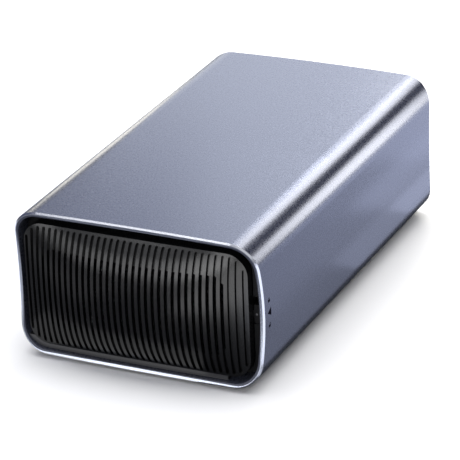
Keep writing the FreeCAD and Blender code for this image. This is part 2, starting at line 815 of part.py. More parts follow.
def make_boards():
    board_end = "backplane_y + board_thickness"
    plate = block("backplane_plate", ("-bay_half_width + slip_gap", "bay_half_width - slip_gap"),
                  ("backplane_y", board_end), ("cage_z + slip_gap", "cage_z + cage_height - slip_gap"))
    holes = []
    for tag, x, z in board_screw_places():
        holes.append(rod(f"board_hole_{tag}", "y", (x, "backplane_y", z), "small_screw + screw_gap",
                         "board_thickness"))
    for bay in (0, 1):
        for side in (-1, 1):
            holes.append(block(f"board_vent_{bay}_{side + 1}",
                               around(f"{side} * vent_pitch * 2 / 3 - vent_length / 4", "vent_length"),
                               ("backplane_y", board_end),
                               around(f"lower_bay_z + drive_height * 2 / 3 + {bay} * bay_pitch",
                                      "vent_height / 2")))
    keep(cut("backplane_board", plate, holes))

    for bay, name in ((0, "lower"), (1, "upper")):
        low = f"lower_bay_z + connector_rise + {bay} * bay_pitch"
        left = "-connector_width / 2"
        shell = block(f"{name}_plug", (left, "connector_width / 2"), ("plug_y", "backplane_y"),
                      (low, f"{low} + connector_height"))
        slot_z = around(f"{low} + connector_height / 2", "key_slot")
        slot_y = ("plug_y", "plug_y + connector_depth / 2")
        rim = "(connector_width - data_slot - power_slot) / 3"
        data = block(f"{name}_data_slot", (f"{left} + {rim}", f"{left} + {rim} + data_slot"), slot_y, slot_z)
        power = block(f"{name}_power_slot", (f"-({left}) - {rim} - power_slot", f"-({left}) - {rim}"),
                      slot_y, slot_z)
        keep(cut(f"drive_connector_{name}", shell, [data, power]))

    board_front = f"{board_end} + link_depth / 3"
    link = block("link_block", around("main_board_x + board_thickness / 2", "link_width"),
                 (board_end, f"{board_end} + link_depth"), around("mid_z", "link_height"))
    groove = block("link_groove", ("main_board_x - screw_gap", "port_x + screw_gap"),
                   (f"{board_front} - screw_gap", f"{board_end} + link_depth"),
                   around("mid_z", "board_height"))
    keep(cut("link_connector", link, [groove]))
    keep(block("main_board", ("main_board_x", "port_x"), (board_front, "board_rear_y"),
               around("mid_z", "board_height")))

    chip_y = "(backplane_y + link_depth + panel_in_y) / 2"
    chip_x = "main_board_x - chip_height"
    keep(block("bridge_chip", (chip_x, "main_board_x"), around(chip_y, "chip_side"),
               around("mid_z", "chip_side")))
    base = block("sink_plate", (f"{chip_x} - sink_base", chip_x), around(chip_y, "sink_side"),
                 around("mid_z", "sink_side"))
    fins = []
    for number in range(int(value("fin_count"))):
        low = (f"mid_z - sink_side / 2 + {number} * (sink_side - fin_thickness) / (fin_count - 1)")
        fins.append(block(f"fin_{number}", (f"{chip_x} - sink_height", f"{chip_x} - sink_base"),
                          around(chip_y, "sink_side"), (low, f"{low} + fin_thickness")))
    keep(fuse("heat_sink", [base] + fins))
    for number in (1, 2):
        keep(rod(f"capacitor_{number}", "x",
                 ("port_x", "backplane_y + board_thickness + link_depth + 2 * can_radius",
                  f"mid_z + jack_z + ({number} - 1) * can_pitch"), "can_radius", "can_height"))


# Rear panel with its ports, buttons and switches

def upright_slot(name, x, y, z, width, thickness):
    """Bar of stadium section along Y that stands on its end, wide along Z."""
    half = f"({thickness}) / 2"
    middle = f"({width}) / 2 - {half}"
    core = block(name + "_core", around(x, thickness), y, around(z, f"({width}) - ({thickness})"))
    ends = []
    for end, sign in (("low", "-"), ("high", "+")):
        ends.append(rod(f"{name}_{end}", "y", (x, y[0], f"({z}) {sign} ({middle})"), half,
                        f"({y[1]}) - ({y[0]})"))
    return fuse(name, [core] + ends)


def make_ports():
    usb_x = "port_x + usb_thickness / 2"
    usb_z = "mid_z + usb_z"
    usb_y = "panel_y - usb_depth"
    shell = upright_slot("usb_shell", usb_x, (usb_y, "panel_y"), usb_z, "usb_width", "usb_thickness")
    cavity = upright_slot("usb_cavity", usb_x, (f"{usb_y} + 4 * usb_wall", "panel_y"), usb_z,
                          "usb_width - 2 * usb_wall", "usb_thickness - 2 * usb_wall")
    tongue = block("usb_tongue_bar", around(usb_x, "usb_tongue"),
                   (f"{usb_y} + usb_wall", "panel_y - 2 * usb_wall"),
                   around(usb_z, "usb_width - usb_thickness + usb_tongue"))
    keep(fuse("usb_port", [cut("usb_can", shell, [cavity]), tongue]))

    jack_x = "port_x + jack_side / 2"
    jack_z = "mid_z + jack_z"
    jack_y = "panel_y - jack_depth"
    housing = block("jack_block", ("port_x", "port_x + jack_side"), (jack_y, "panel_y"),
                    around(jack_z, "jack_side"))
    bore = rod("jack_hole", "y", (jack_x, f"{jack_y} + jack_depth / 4", jack_z), "jack_bore", "jack_depth")
    pin = rod("jack_centre", "y", (jack_x, f"{jack_y} + jack_depth / 8", jack_z), "jack_pin",
              "jack_depth * 3 / 4")
    keep(fuse("dc_jack", [cut("jack_shell", housing, [bore]), pin]))


def make_buttons():
    flange_end = "panel_in_y - slip_gap"
    flange_start = f"{flange_end} - flange_thickness"
    for name, radius, z, tip in (("power", "button_radius", "power_z", "panel_y + button_proud"),
                                 ("set", "set_radius", "set_z", "panel_y - set_sink")):
        centre_z = f"mid_z + {z}"
        stem = rod(f"{name}_stem", "y", ("button_x", flange_start, centre_z), radius,
                   f"({tip}) - ({flange_start})")
        flange = rod(f"{name}_flange", "y", ("button_x", flange_start, centre_z), f"{radius} + button_flange",
                     "flange_thickness")
        keep(fuse(f"{name}_button", [stem, flange]))
        switch_end = f"{flange_start} - button_travel - slip_gap"
        keep(block(f"{name}_switch", ("port_x", "button_x + switch_side / 2"),
                   (f"{switch_end} - switch_depth", switch_end), around(centre_z, "switch_side")))


def nib_room(number, grow):
    """Low and high formulas of a mode slider across the panel, with its travel where it grows."""
    middle_z = f"mid_z + mode_z + ({number} - 1.5) * nib_pitch"
    low_x = "port_x + (mode_thickness - nib_length - nib_travel) / 2"
    across = (f"{low_x} - {grow}", f"{low_x} + nib_length + {grow}")
    return across, around(middle_z, f"nib_width + 2 * {grow}")


def make_mode_switch():
    face_y = "panel_y - slip_gap"
    body = block("mode_block", ("port_x", "port_x + mode_thickness"), (f"{face_y} - mode_depth", face_y),
                 around("mid_z + mode_z", "mode_width"))
    slots = []
    for number in (1, 2):
        x, z = nib_room(number, "slip_gap")
        slots.append(block(f"nib_slot_{number}", (x[0], f"{x[1]} + nib_travel"),
                           (f"{face_y} - mode_depth / 2", face_y), z))
    keep(cut("mode_switch", body, slots))
    for number in (1, 2):
        x, z = nib_room(number, "0")
        keep(block(f"mode_slider_{number}", x, (f"{face_y} - mode_depth / 2 + slip_gap", "panel_y"), z))


def make_panel():
    body = new_body("panel_plate", "panel_in_y", "mid_z")
    crowned_pad(body, "panel", "lining", "panel_thickness")
    through = ("panel_in_y - panel_thickness", "panel_y + panel_thickness")
    depth = f"({through[1]}) - ({through[0]})"
    openings = [
        upright_slot("usb_opening", "port_x + usb_thickness / 2", through, "mid_z + usb_z",
                     "usb_width + 2 * port_gap", "usb_thickness + 2 * port_gap"),
        block("jack_opening", ("port_x - port_gap", "port_x + jack_side + port_gap"), through,
              around("mid_z + jack_z", "jack_side + 2 * port_gap")),
        block("mode_opening", ("port_x - port_gap", "port_x + mode_thickness + port_gap"), through,
              around("mid_z + mode_z", "mode_width + 2 * port_gap")),
        rod("power_opening", "y", ("button_x", through[0], "mid_z + power_z"),
            "button_radius + slip_gap", depth),
        rod("set_opening", "y", ("button_x", through[0], "mid_z + set_z"),
            "set_radius + slip_gap", depth),
    ]
    for side in (-1, 1):
        for level in (-1, 1):
            tag = f"{side + 1}{level + 1}"
            openings.append(rod(f"panel_hole_{tag}", "y",
                                (f"{side} * boss_x", through[0], f"mid_z + {level} * boss_spread"),
                                "case_screw + screw_gap", depth))
            openings.append(rod(f"fan_hole_{tag}", "y",
                                (f"fan_x + {side} * fan_hole_pitch / 2", through[0],
                                 f"mid_z + {level} * fan_hole_pitch / 2"), "fan_screw + screw_gap", depth))
    reach = value("fan_bore") - value("fan_slit_pitch") / 2
    half_count = int(reach / value("fan_slit_pitch"))
    for number in range(-half_count, half_count + 1):
        half = f"sqrt((fan_bore - fan_slit_pitch / 2)^2 - ({number} * fan_slit_pitch)^2)"
        openings.append(block(f"fan_slit_{number + half_count}",
                              around(f"fan_x + {number} * fan_slit_pitch", "fan_slit_width"), through,
                              (f"mid_z - {half}", f"mid_z + {half}")))
    keep(cut("rear_panel", body, openings))


# Fan

def make_fan():
    front = "panel_in_y - fan_depth"
    housing = block("fan_block", around("fan_x", "fan_side"), (front, "panel_in_y"),
                    around("mid_z", "fan_side"))
    doc.recompute()
    rounded = doc.addObject("Part::Fillet", "fan_rounded")
    rounded.Base = housing
    corners = [number for number, edge in enumerate(housing.Shape.Edges, start=1) if runs_along_y(edge)]
    rounded.Edges = [(number, value("fan_corner"), value("fan_corner")) for number in corners]
    axis = ("fan_x", front, "mid_z")
    tools = [rod("fan_duct", "y", axis, "fan_bore", "fan_depth")]
    for side in (-1, 1):
        for level in (-1, 1):
            tools.append(rod(f"fan_ear_{side + 1}{level + 1}", "y",
                             (f"fan_x + {side} * fan_hole_pitch / 2", front,
                              f"mid_z + {level} * fan_hole_pitch / 2"), "fan_screw + screw_gap", "fan_depth"))
    ring = cut("fan_ring", rounded, tools)
    base_y = "panel_in_y - base_thickness"
    pieces = [
        ring,
        rod("motor_base", "y", ("fan_x", base_y, "mid_z"), "hub_radius", "base_thickness"),
        block("strut_across", around("fan_x", "2 * fan_bore + fan_corner / 2"), (base_y, "panel_in_y"),
              around("mid_z", "strut_width")),
        block("strut_upright", around("fan_x", "strut_width"), (base_y, "panel_in_y"),
              around("mid_z", "2 * fan_bore + fan_corner / 2")),
        rod("bearing_tube", "y", ("fan_x", f"{front} + hub_gap + 2 * hub_wall", "mid_z"), "bearing_radius",
            f"({base_y}) - ({front}) - hub_gap - 2 * hub_wall + base_thickness / 2"),
    ]
    bearing = rod("bearing_bore", "y", axis, "shaft_radius + shaft_gap", "fan_depth - base_thickness")
    keep(cut("fan_frame", fuse("fan_casting", pieces), [bearing]))
    make_rotor(value("panel_in_y") - value("fan_depth"))


def make_rotor(front_y):
    """Hub cup, shaft and swept blades, turned about the fan's axis."""
    centre = Vector(value("fan_x"), front_y + value("hub_gap"), value("mid_z"))
    along = Vector(0, 1, 0)
    hub = value("hub_radius")
    wall = value("hub_wall")
    depth = value("fan_depth") - value("base_thickness") - 2 * value("hub_gap")
    cup = Part.makeCylinder(hub, depth, centre, along)
    cup = cup.cut(Part.makeCylinder(hub - wall, depth, centre + along * wall, along))
    shaft_length = depth - value("slip_gap")
    rotor = cup.fuse(Part.makeCylinder(value("shaft_radius"), shaft_length, centre, along))
    tip = value("fan_bore") - value("blade_gap")
    sweep = Part.makeCylinder(tip, depth, centre, along)
    sweep = sweep.cut(Part.makeCylinder(hub - wall / 2, depth, centre, along))
    chord = depth / math.sin(math.radians(value("blade_angle")))
    slab = Part.makeBox(chord, value("blade_thickness"), tip,
                        Vector(-chord / 2, -value("blade_thickness") / 2, 0))
    slab.rotate(Vector(), Vector(0, 0, 1), value("blade_angle"))
    slab.translate(centre + along * (depth / 2))
    count = int(value("blade_count"))
    for number in range(count):
        blade = slab.copy()
        blade.rotate(centre, along, number * 360 / count)
        rotor = rotor.fuse(blade.common(sweep))
    feature = doc.addObject("Part::Feature", "fan_rotor")
    feature.Shape = rotor
    feature.Placement = Placement()
    keep(feature)


# Screws

def screw(seat, direction, shank, head, head_height, length, sunk):
    """One screw: its head on or in the seat, its shank along a direction."""
    stem = Part.makeCylinder(shank, length, seat, direction)
    if sunk:
        return stem.fuse(Part.makeCone(head, shank, head_height, seat, direction))
    return stem.fuse(Part.makeCylinder(head, head_height, seat - direction * head_height, direction))


def screw_group(name, kind, length, direction, seats, sunk=False):
    """Like screws as one group of separate solids."""
    sizes = (value(kind + "_screw"), value(kind + "_head"), value(kind + "_head_height"))
    feature = doc.addObject("Part::Feature", name)
    feature.Shape = Part.makeCompound([screw(seat, direction, *sizes, length, sunk) for seat in seats])
    feature.Placement = Placement()
    keep(feature)


def corner_seats(x, y, z, spread_x, spread_z):
    return [Vector(x + side * spread_x, y, z + level * spread_z) for side in (-1, 1) for level in (-1, 1)]


def make_screws():
    mid_z = value("mid_z")
    boss = (value("boss_x"), value("boss_spread"))
    inward, outward = Vector(0, 1, 0), Vector(0, -1, 0)
    long_case = value("case_screw_length")
    screw_group("frame_screws", "case", long_case, inward,
                corner_seats(0, value("frame_y"), mid_z, *boss), sunk=True)
    screw_group("panel_screws", "case", long_case, outward,
                corner_seats(0, value("panel_y"), mid_z, *boss))
    fan_spread = value("fan_hole_pitch") / 2
    screw_group("fan_screws", "fan", value("fan_screw_length"), outward,
                corner_seats(value("fan_x"), value("panel_y"), mid_z, fan_spread, fan_spread))
    foot_y = (value("front_y") + value("foot_inset"), value("rear_y") - value("foot_inset"))
    foot_z = value("foot_proud") + value("foot_recess")
    screw_group("shell_screws", "case", value("foot_screw_length"), Vector(0, 0, 1),
                [Vector(side * value("foot_x"), y, foot_z) for side in (-1, 1) for y in foot_y], sunk=True)
    small = value("small_screw_length") - value("slip_gap")
    post = value("post_width") + value("ledge_thickness")
    board_x = value("bay_half_width") - value("post_width") / 2
    board_z = value("cage_z") + value("cage_height") / 2
    screw_group("board_screws", "small", small, outward,
                corner_seats(0, value("backplane_y") + value("board_thickness"), board_z,
                             board_x, value("cage_height") / 2 - post / 2))
    near = value("bay_y") + value("vent_pitch") / 2
    far = value("plug_y") - value("vent_pitch") / 2
    top_x = value("bay_half_width") + value("cage_wall") / 2
    top_z = value("cage_z") + value("cage_height") + value("plate_thickness")
    top = [Vector(side * top_x, y, top_z) for side in (-1, 1) for y in (near, far)]
    screw_group("cage_top_screws", "small", small, Vector(0, 0, -1), top)
    low_x = value("bay_half_width") - value("ledge_width") / 2
    low = [Vector(side * low_x, y, value("rail_z")) for side in (-1, 1) for y in (near, far)]
    short = value("plate_thickness") + value("ledge_thickness") - value("slip_gap")
    screw_group("cage_floor_screws", "small", short, Vector(0, 0, 1), low)


make_shell()
make_feet()
make_cover()
make_frame()
make_lock()
make_cage()
make_boards()
make_ports()
make_buttons()
make_mode_switch()
make_panel()
make_fan()
make_screws()
doc.recompute()

for piece in doc.Objects:
    if "Invalid" in piece.State or "Error" in piece.State:
        raise RuntimeError(f"{piece.Label} failed to build: {piece.State}")
os.makedirs("parts", exist_ok=True)
for piece in nodes:
    if piece.Shape.isNull() or not piece.Shape.isValid() or piece.Shape.Volume <= 0:
        raise RuntimeError(f"{piece.Label} has no valid solid")
    piece.Shape.exportStep(f"parts/{piece.Label}.step")
    print(f"{piece.Label}: {len(piece.Shape.Solids)} solid, {piece.Shape.Volume / 1000:.2f} cm3")
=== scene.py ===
"""Looks of a dual bay hard drive enclosure: anodised sleeve, slatted front, rear ports and studio."""
import math

import bmesh
import bpy
from bpy.props import FloatProperty, FloatVectorProperty, IntProperty, PointerProperty
from bpy.types import Operator, Panel, PropertyGroup
from mathutils import Matrix, Vector


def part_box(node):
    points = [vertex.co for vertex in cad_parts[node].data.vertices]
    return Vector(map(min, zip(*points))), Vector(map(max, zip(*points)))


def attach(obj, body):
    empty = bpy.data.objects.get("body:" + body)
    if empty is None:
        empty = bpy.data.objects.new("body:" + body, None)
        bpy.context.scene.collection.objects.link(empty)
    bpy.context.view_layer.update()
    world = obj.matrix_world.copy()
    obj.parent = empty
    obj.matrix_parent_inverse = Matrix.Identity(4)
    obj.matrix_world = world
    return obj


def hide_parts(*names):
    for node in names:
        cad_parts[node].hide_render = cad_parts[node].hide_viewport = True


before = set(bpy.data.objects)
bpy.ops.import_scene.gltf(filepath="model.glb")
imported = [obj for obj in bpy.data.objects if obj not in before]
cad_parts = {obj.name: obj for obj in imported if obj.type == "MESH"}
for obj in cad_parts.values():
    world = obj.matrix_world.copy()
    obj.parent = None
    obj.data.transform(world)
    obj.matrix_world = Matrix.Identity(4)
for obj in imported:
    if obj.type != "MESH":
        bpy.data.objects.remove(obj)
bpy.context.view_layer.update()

bl_info = {
    "name": "Drive enclosure looks",
    "version": (1, 0, 0),
    "blender": (4, 5, 0),
    "location": "3D View > Sidebar > Enclosure",
    "description": "Dresses the packed drive enclosure and sets up its studio",
    "category": "Object",
}

MM = 0.001

# Bead on the frame's lip: inset and rise of each step, in mm
LIP_STEPS = ((0.2, 0.0), (0.04, 0.34), (0.10, 0.28), (0.18, 0.24), (0.28, 0.18), (0.3, 0.08))

# Dot on the lock slider: radius and rise of each ring, in mm
DOT_RINGS = ((0.55, -0.05), (0.55, 0.06), (0.42, 0.16), (0.2, 0.21))
DOT_SIDES = 20

# Where the upright lights behind the part stand, and where the cards beside it end
REAR_Y = 0.5

# Height of the cards that lie on the floor
CARD_Z = 0.002

# Cards on the floor at the right: name, nearer side, farther side, shift to the rear, share
SIDE_STRIPS = (("near", 0.066, 0.092, 0.03, 0.42), ("far", 0.092, 0.30, 0.10, 0.62))

# The same cards along the part: name, front end, brightness
SIDE_CARDS = (("side", -0.14, 0.85), ("mid", 0.0, 0.72), ("rear", 0.07, 1.0))

# Camera fitted to the photograph
CAMERA_PLACE = (0.544545, -1.120238, 0.600533)
CAMERA_TURN = ((0.9062042, -0.1438765, 0.3976096), (0.4210485, 0.3935143, -0.8172299),
               (-0.0388849, 0.9079901, 0.4171834))


def colour(name, description, default):
    return FloatVectorProperty(name=name, description=description, default=default, size=3,
                               subtype="COLOR", min=0, max=1)


def length(name, description, default):
    return FloatProperty(name=name, description=description, default=default, unit="LENGTH",
                         subtype="DISTANCE", precision=5)


def share(name, description, default):
    return FloatProperty(name=name, description=description, default=default, min=0, max=1,
                         subtype="FACTOR")


def strength(name, description, default):
    return FloatProperty(name=name, description=description, default=default, min=0)


class SleeveFinish(PropertyGroup):
    """Anodised sleeve."""
    body_colour: colour("Body", "Bead-blasted anodised surface", (0.141, 0.154, 0.215))
    fleck_colour: colour("Fleck", "Brighter grains of the blasted surface", (0.161, 0.177, 0.247))
    rim_colour: colour("Rim", "Machined end faces", (0.74, 0.79, 0.92))
    inner_colour: colour("Inside", "Duller surface inside the sleeve", (0.055, 0.060, 0.085))
    bevel_colour: colour("Bevel", "Bright bevel round both ends", (0.90, 0.92, 0.98))
    roughness: share("Roughness", "Mean roughness of the blasted surface", 0.28)
    grain: length("Grain", "Size of the blasting grain", 0.0010)


class FrontFinish(PropertyGroup):
    """Moulded front."""
    slat_colour: colour("Slats", "Satin black plastic of the cover", (0.0026, 0.0026, 0.0028))
    # Painted shade: near-black colour laid on the slit walls, the faces that look along X, to stand for the
    # shade inside the slits.
    painted_slit_shade: colour("Slits", "Shaded walls of the slits between the slats", (0.0012, 0.0012, 0.0013))
    frame_colour: colour("Frame", "Black plastic of the frame behind the cover", (0.006, 0.006, 0.0065))
    roughness: share("Roughness", "Mean roughness of the slats", 0.26)
    texture: length("Texture", "Size of the moulded texture", 0.00025)


class MarkSizes(PropertyGroup):
    """Printed signs."""
    ink_colour: colour("Ink", "Dark printing ink", (0.004, 0.004, 0.009))
    pale_ink_colour: colour("Pale ink", "Pale printing ink on black plastic", (0.42, 0.42, 0.44))
    from_rim: length("From rim", "Distance of the arrow from the front rim", 0.0052)
    arrow: length("Arrow", "Height of the arrow", 0.0042)
    pitch: length("Pitch", "Distance between the signs beside the lock", 0.0062)


class ScrewDetail(PropertyGroup):
    """Screw heads."""
    recess_depth: length("Recess depth", "Depth of the cross recess", 0.0007)
    recess_share: FloatProperty(name="Recess share", description="Width of the cross as a share of the head",
                                default=0.56, min=0.2, max=0.9, subtype="FACTOR")
    sides: IntProperty(name="Sides", description="Segments round a head", default=40, min=12, max=96)


class StudioSetup(PropertyGroup):
    """Light, floor and camera."""
    floor_colour: colour("Floor", "Pale floor", (0.80, 0.80, 0.805))
    floor_shade: colour("Floor shade", "Dimmer floor that the part mirrors", (0.075, 0.078, 0.09))
    sky: strength("Surroundings", "Strength of the dim surroundings", 0.07)
    room: strength("Room", "Strength of the paler room at the right front", 0.5)
    overhead: strength("Overhead", "Power of the overhead softbox in watts", 39)
    rear: strength("Rear", "Power of the softbox behind in watts", 0.51)
    streak: strength("Streaks", "Power of each narrow strip behind in watts", 0.9)
    front: strength("Front", "Power of the front softbox in watts", 4.6)
    card: strength("Cards", "Brightness of the faint cards on the floor", 1.0)
    lens: FloatProperty(name="Lens", description="Focal length on a 36 mm sensor", default=221.675, min=1,
                        unit="CAMERA")


class EnclosureSettings(PropertyGroup):
    """All settings of the enclosure's looks."""
    sleeve: PointerProperty(type=SleeveFinish, name="Sleeve", description="Anodised sleeve")
    front: PointerProperty(type=FrontFinish, name="Front", description="Moulded front")
    marks: PointerProperty(type=MarkSizes, name="Marks", description="Printed signs")
    screws: PointerProperty(type=ScrewDetail, name="Screws", description="Screw heads")
    studio: PointerProperty(type=StudioSetup, name="Studio", description="Light, floor and camera")


def settings():
    return bpy.context.scene.enclosure


# Shader helpers

def put(tree, kind, **values):
    """Add a shader node and set its properties."""
    made = tree.nodes.new("ShaderNode" + kind)
    for key, item in values.items():
        setattr(made, key, item)
    return made


def feed(tree, target, *sources):
    """Join sources to a node's inputs, or set them where they are plain values."""
    for socket, source in sources:
        if isinstance(source, bpy.types.NodeSocket):
            tree.links.new(source, target.inputs[socket])
        else:
            target.inputs[socket].default_value = source
    return target


def math_node(tree, operation, first, second=0.0):
    made = put(tree, "Math", operation=operation)
    feed(tree, made, (0, first), (1, second))
    return made.outputs[0]


def ramp_node(tree, source, low, high, to_low=0.0, to_high=1.0):
    made = put(tree, "MapRange", clamp=True)
    feed(tree, made, (0, source), (1, low), (2, high), (3, to_low), (4, to_high))
    return made.outputs[0]


def mix_node(tree, factor, first, second):
    made = put(tree, "Mix", data_type="RGBA")
    feed(tree, made, (0, factor), (6, first), (7, second))
    return made.outputs[2]


def rgba(values):
    return (*values, 1.0)


def new_group(name, inputs, outputs):
    """Empty shader group with float inputs and named outputs."""
    tree = bpy.data.node_groups.new(name, "ShaderNodeTree")
    for label, default in inputs:
        socket = tree.interface.new_socket(label, in_out="INPUT", socket_type="NodeSocketFloat")
        socket.default_value = default
    for label in outputs:
        tree.interface.new_socket(label, in_out="OUTPUT", socket_type="NodeSocketFloat")
    return tree, tree.nodes.new("NodeGroupInput"), tree.nodes.new("NodeGroupOutput")


def grain_group():
    """Fine grain with a slow cloud under it, in object space."""
    if "fine_grain" in bpy.data.node_groups:
        return bpy.data.node_groups["fine_grain"]
    tree, entry, leave = new_group("fine_grain", [("Scale", 2000.0), ("Cloud", 0.25)], ["Shade", "Height"])
    place = put(tree, "TexCoord").outputs["Object"]
    fine = feed(tree, put(tree, "TexNoise"), ("Vector", place), ("Scale", entry.outputs["Scale"]),
                ("Detail", 2.0), ("Roughness", 0.6))
    slow = feed(tree, put(tree, "TexNoise"), ("Vector", place), ("Scale", 28.0), ("Detail", 3.0))
    grain = ramp_node(tree, fine.outputs["Fac"], 0.34, 0.66)
    cloud = math_node(tree, "MULTIPLY", ramp_node(tree, slow.outputs["Fac"], 0.3, 0.7, -0.5, 0.5),
                      entry.outputs["Cloud"])
    shade = math_node(tree, "ADD", grain, cloud)
    feed(tree, leave, ("Shade", shade), ("Height", fine.outputs["Fac"]))
    return tree


def edge_group():
    """Mask of worn edges, broken up by noise."""
    if "edge_wear" in bpy.data.node_groups:
        return bpy.data.node_groups["edge_wear"]
    tree, entry, leave = new_group("edge_wear", [("Radius", 0.0004), ("Patchiness", 0.5)], ["Mask"])
    soft = feed(tree, put(tree, "Bevel", samples=4), ("Radius", entry.outputs["Radius"]))
    sharp = put(tree, "NewGeometry").outputs["Normal"]
    turn = put(tree, "VectorMath", operation="DOT_PRODUCT")
    feed(tree, turn, (0, soft.outputs["Normal"]), (1, sharp))
    edge = ramp_node(tree, turn.outputs["Value"], 0.985, 0.86)
    noise = feed(tree, put(tree, "TexNoise"), ("Vector", put(tree, "TexCoord").outputs["Object"]),
                 ("Scale", 420.0), ("Detail", 3.0))
    gap = math_node(tree, "MULTIPLY", ramp_node(tree, noise.outputs["Fac"], 0.35, 0.65),
                    entry.outputs["Patchiness"])
    feed(tree, leave, ("Mask", math_node(tree, "MULTIPLY", edge, math_node(tree, "SUBTRACT", 1.0, gap))))
    return tree


def dust_group():
    """Faint dust on faces that look up."""
    if "settled_dust" in bpy.data.node_groups:
        return bpy.data.node_groups["settled_dust"]
    tree, entry, leave = new_group("settled_dust", [("Amount", 0.1)], ["Mask"])
    split = put(tree, "SeparateXYZ")
    feed(tree, split, (0, put(tree, "NewGeometry").outputs["Normal"]))
    upward = ramp_node(tree, split.outputs["Z"], 0.3, 1.0)
    noise = feed(tree, put(tree, "TexNoise"), ("Vector", put(tree, "TexCoord").outputs["Object"]),
                 ("Scale", 160.0), ("Detail", 6.0))
    speck = math_node(tree, "MULTIPLY", upward, ramp_node(tree, noise.outputs["Fac"], 0.45, 0.75))
    feed(tree, leave, ("Mask", math_node(tree, "MULTIPLY", speck, entry.outputs["Amount"])))
    return tree


def use_group(tree, group, **values):
    made = put(tree, "Group", node_tree=group)
    for key, item in values.items():
        made.inputs[key].default_value = item
    return made


def new_material(name, metallic=0.0, specular=0.5, coat=0.0):
    """Material with a Principled shader whose plain values are set on it."""
    made = bpy.data.materials.new(name)
    made.use_nodes = True
    shader = made.node_tree.nodes["Principled BSDF"]
    shader.inputs["Metallic"].default_value = metallic
    shader.inputs["Specular IOR Level"].default_value = specular
    shader.inputs["Coat Weight"].default_value = coat
    return made, made.node_tree, shader


def grained(name, dark, light, roughness, grain=0.0004, spread=0.05, bump=0.08, metallic=0.0,
            specular=0.5, edge=None, edge_radius=0.0003, dust=0.0, coat=0.0, painted_wall_shade=None):
    """Moulded or blasted finish: two shades of grain, worn edges, a little dust and painted shade on side
    walls that look along X.
    """
    made, tree, shader = new_material(name, metallic, specular, coat)
    grains = use_group(tree, grain_group(), Scale=1.0 / grain)
    shade = grains.outputs["Shade"]
    base = mix_node(tree, shade, rgba(dark), rgba(light))
    if edge is not None:
        wear = use_group(tree, edge_group(), Radius=edge_radius)
        base = mix_node(tree, wear.outputs["Mask"], base, rgba(edge))
    rough = ramp_node(tree, shade, 0.0, 1.0, roughness - spread, roughness + spread)
    if dust:
        film = use_group(tree, dust_group(), Amount=dust)
        base = mix_node(tree, film.outputs["Mask"], base, (0.30, 0.30, 0.31, 1.0))
    # Painted shade: faces that look along X get the darker wall colour, standing for the shade that falls
    # between the slats.
    if painted_wall_shade is not None:
        base = mix_node(tree, facing(tree, "X", 0.5, 0.8), base, rgba(painted_wall_shade))
    relief = feed(tree, put(tree, "Bump"), ("Strength", bump), ("Distance", grain * 0.25),
                  ("Height", grains.outputs["Height"]))
    feed(tree, shader, ("Base Color", base), ("Roughness", rough), ("Normal", relief.outputs["Normal"]))
    return made


def facing(tree, axis, low, high):
    """Mask of faces that look along an axis, either way."""
    split = put(tree, "SeparateXYZ")
    feed(tree, split, (0, put(tree, "TexCoord").outputs["Normal"]))
    return ramp_node(tree, math_node(tree, "ABSOLUTE", split.outputs[axis]), low, high)


def dress(material, *names):
    """Give CAD nodes a material in place of the plain one."""
    for name in names:
        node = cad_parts[name]
        node.data.materials.clear()
        node.data.materials.append(material)


def lighter(values, factor):
    return tuple(min(1.0, item * factor) for item in values)


# Mesh helpers

def mesh_piece(name, shape, material, body):
    """Turn a bmesh into a piece that rides on a body."""
    data = bpy.data.meshes.new(name)
    shape.to_mesh(data)
    shape.free()
    piece = bpy.data.objects.new(name, data)
    bpy.context.scene.collection.objects.link(piece)
    data.materials.append(material)
    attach(piece, body)
    return piece


def box_into(shape, low, high):
    """Add a box between two corners to a bmesh."""
    size = Vector(high) - Vector(low)
    middle = (Vector(low) + Vector(high)) / 2
    matrix = Matrix.Translation(middle) @ Matrix.Diagonal((*size, 1.0))
    return bmesh.ops.create_cube(shape, size=1.0, matrix=matrix)["verts"]


def soften(shape, width):
    bmesh.ops.bevel(shape, geom=shape.edges[:], offset=width, segments=1, affect="EDGES", profile=0.5)


def plate(shape, outline, place, thickness):
    """Thin plate over a closed outline; place turns outline coordinates into space."""
    front = [shape.verts.new(place(u, v, thickness)) for u, v in outline]
    back = [shape.verts.new(place(u, v, 0.0)) for u, v in outline]
    shape.faces.new(front)
    shape.faces.new(back[::-1])
    count = len(outline)
    for number in range(count):
        after = (number + 1) % count
        shape.faces.new((front[after], front[number], back[number], back[after]))


def ring_outline(shape, place, centre, radius, width, start, end, steps, thickness):
    """Arc of a printed ring between two angles."""
    points = []
    for reach in (radius + width / 2, radius - width / 2):
        angles = [start + (end - start) * step / steps for step in range(steps + 1)]
        arc = [(centre[0] + reach * math.cos(a), centre[1] + reach * math.sin(a)) for a in angles]
        points += arc if not points else arc[::-1]
    plate(shape, points, place, thickness)


def rectangle(u, v, width, height):
    return [(u - width / 2, v - height / 2), (u + width / 2, v - height / 2),
            (u + width / 2, v + height / 2), (u - width / 2, v + height / 2)]


# Pieces

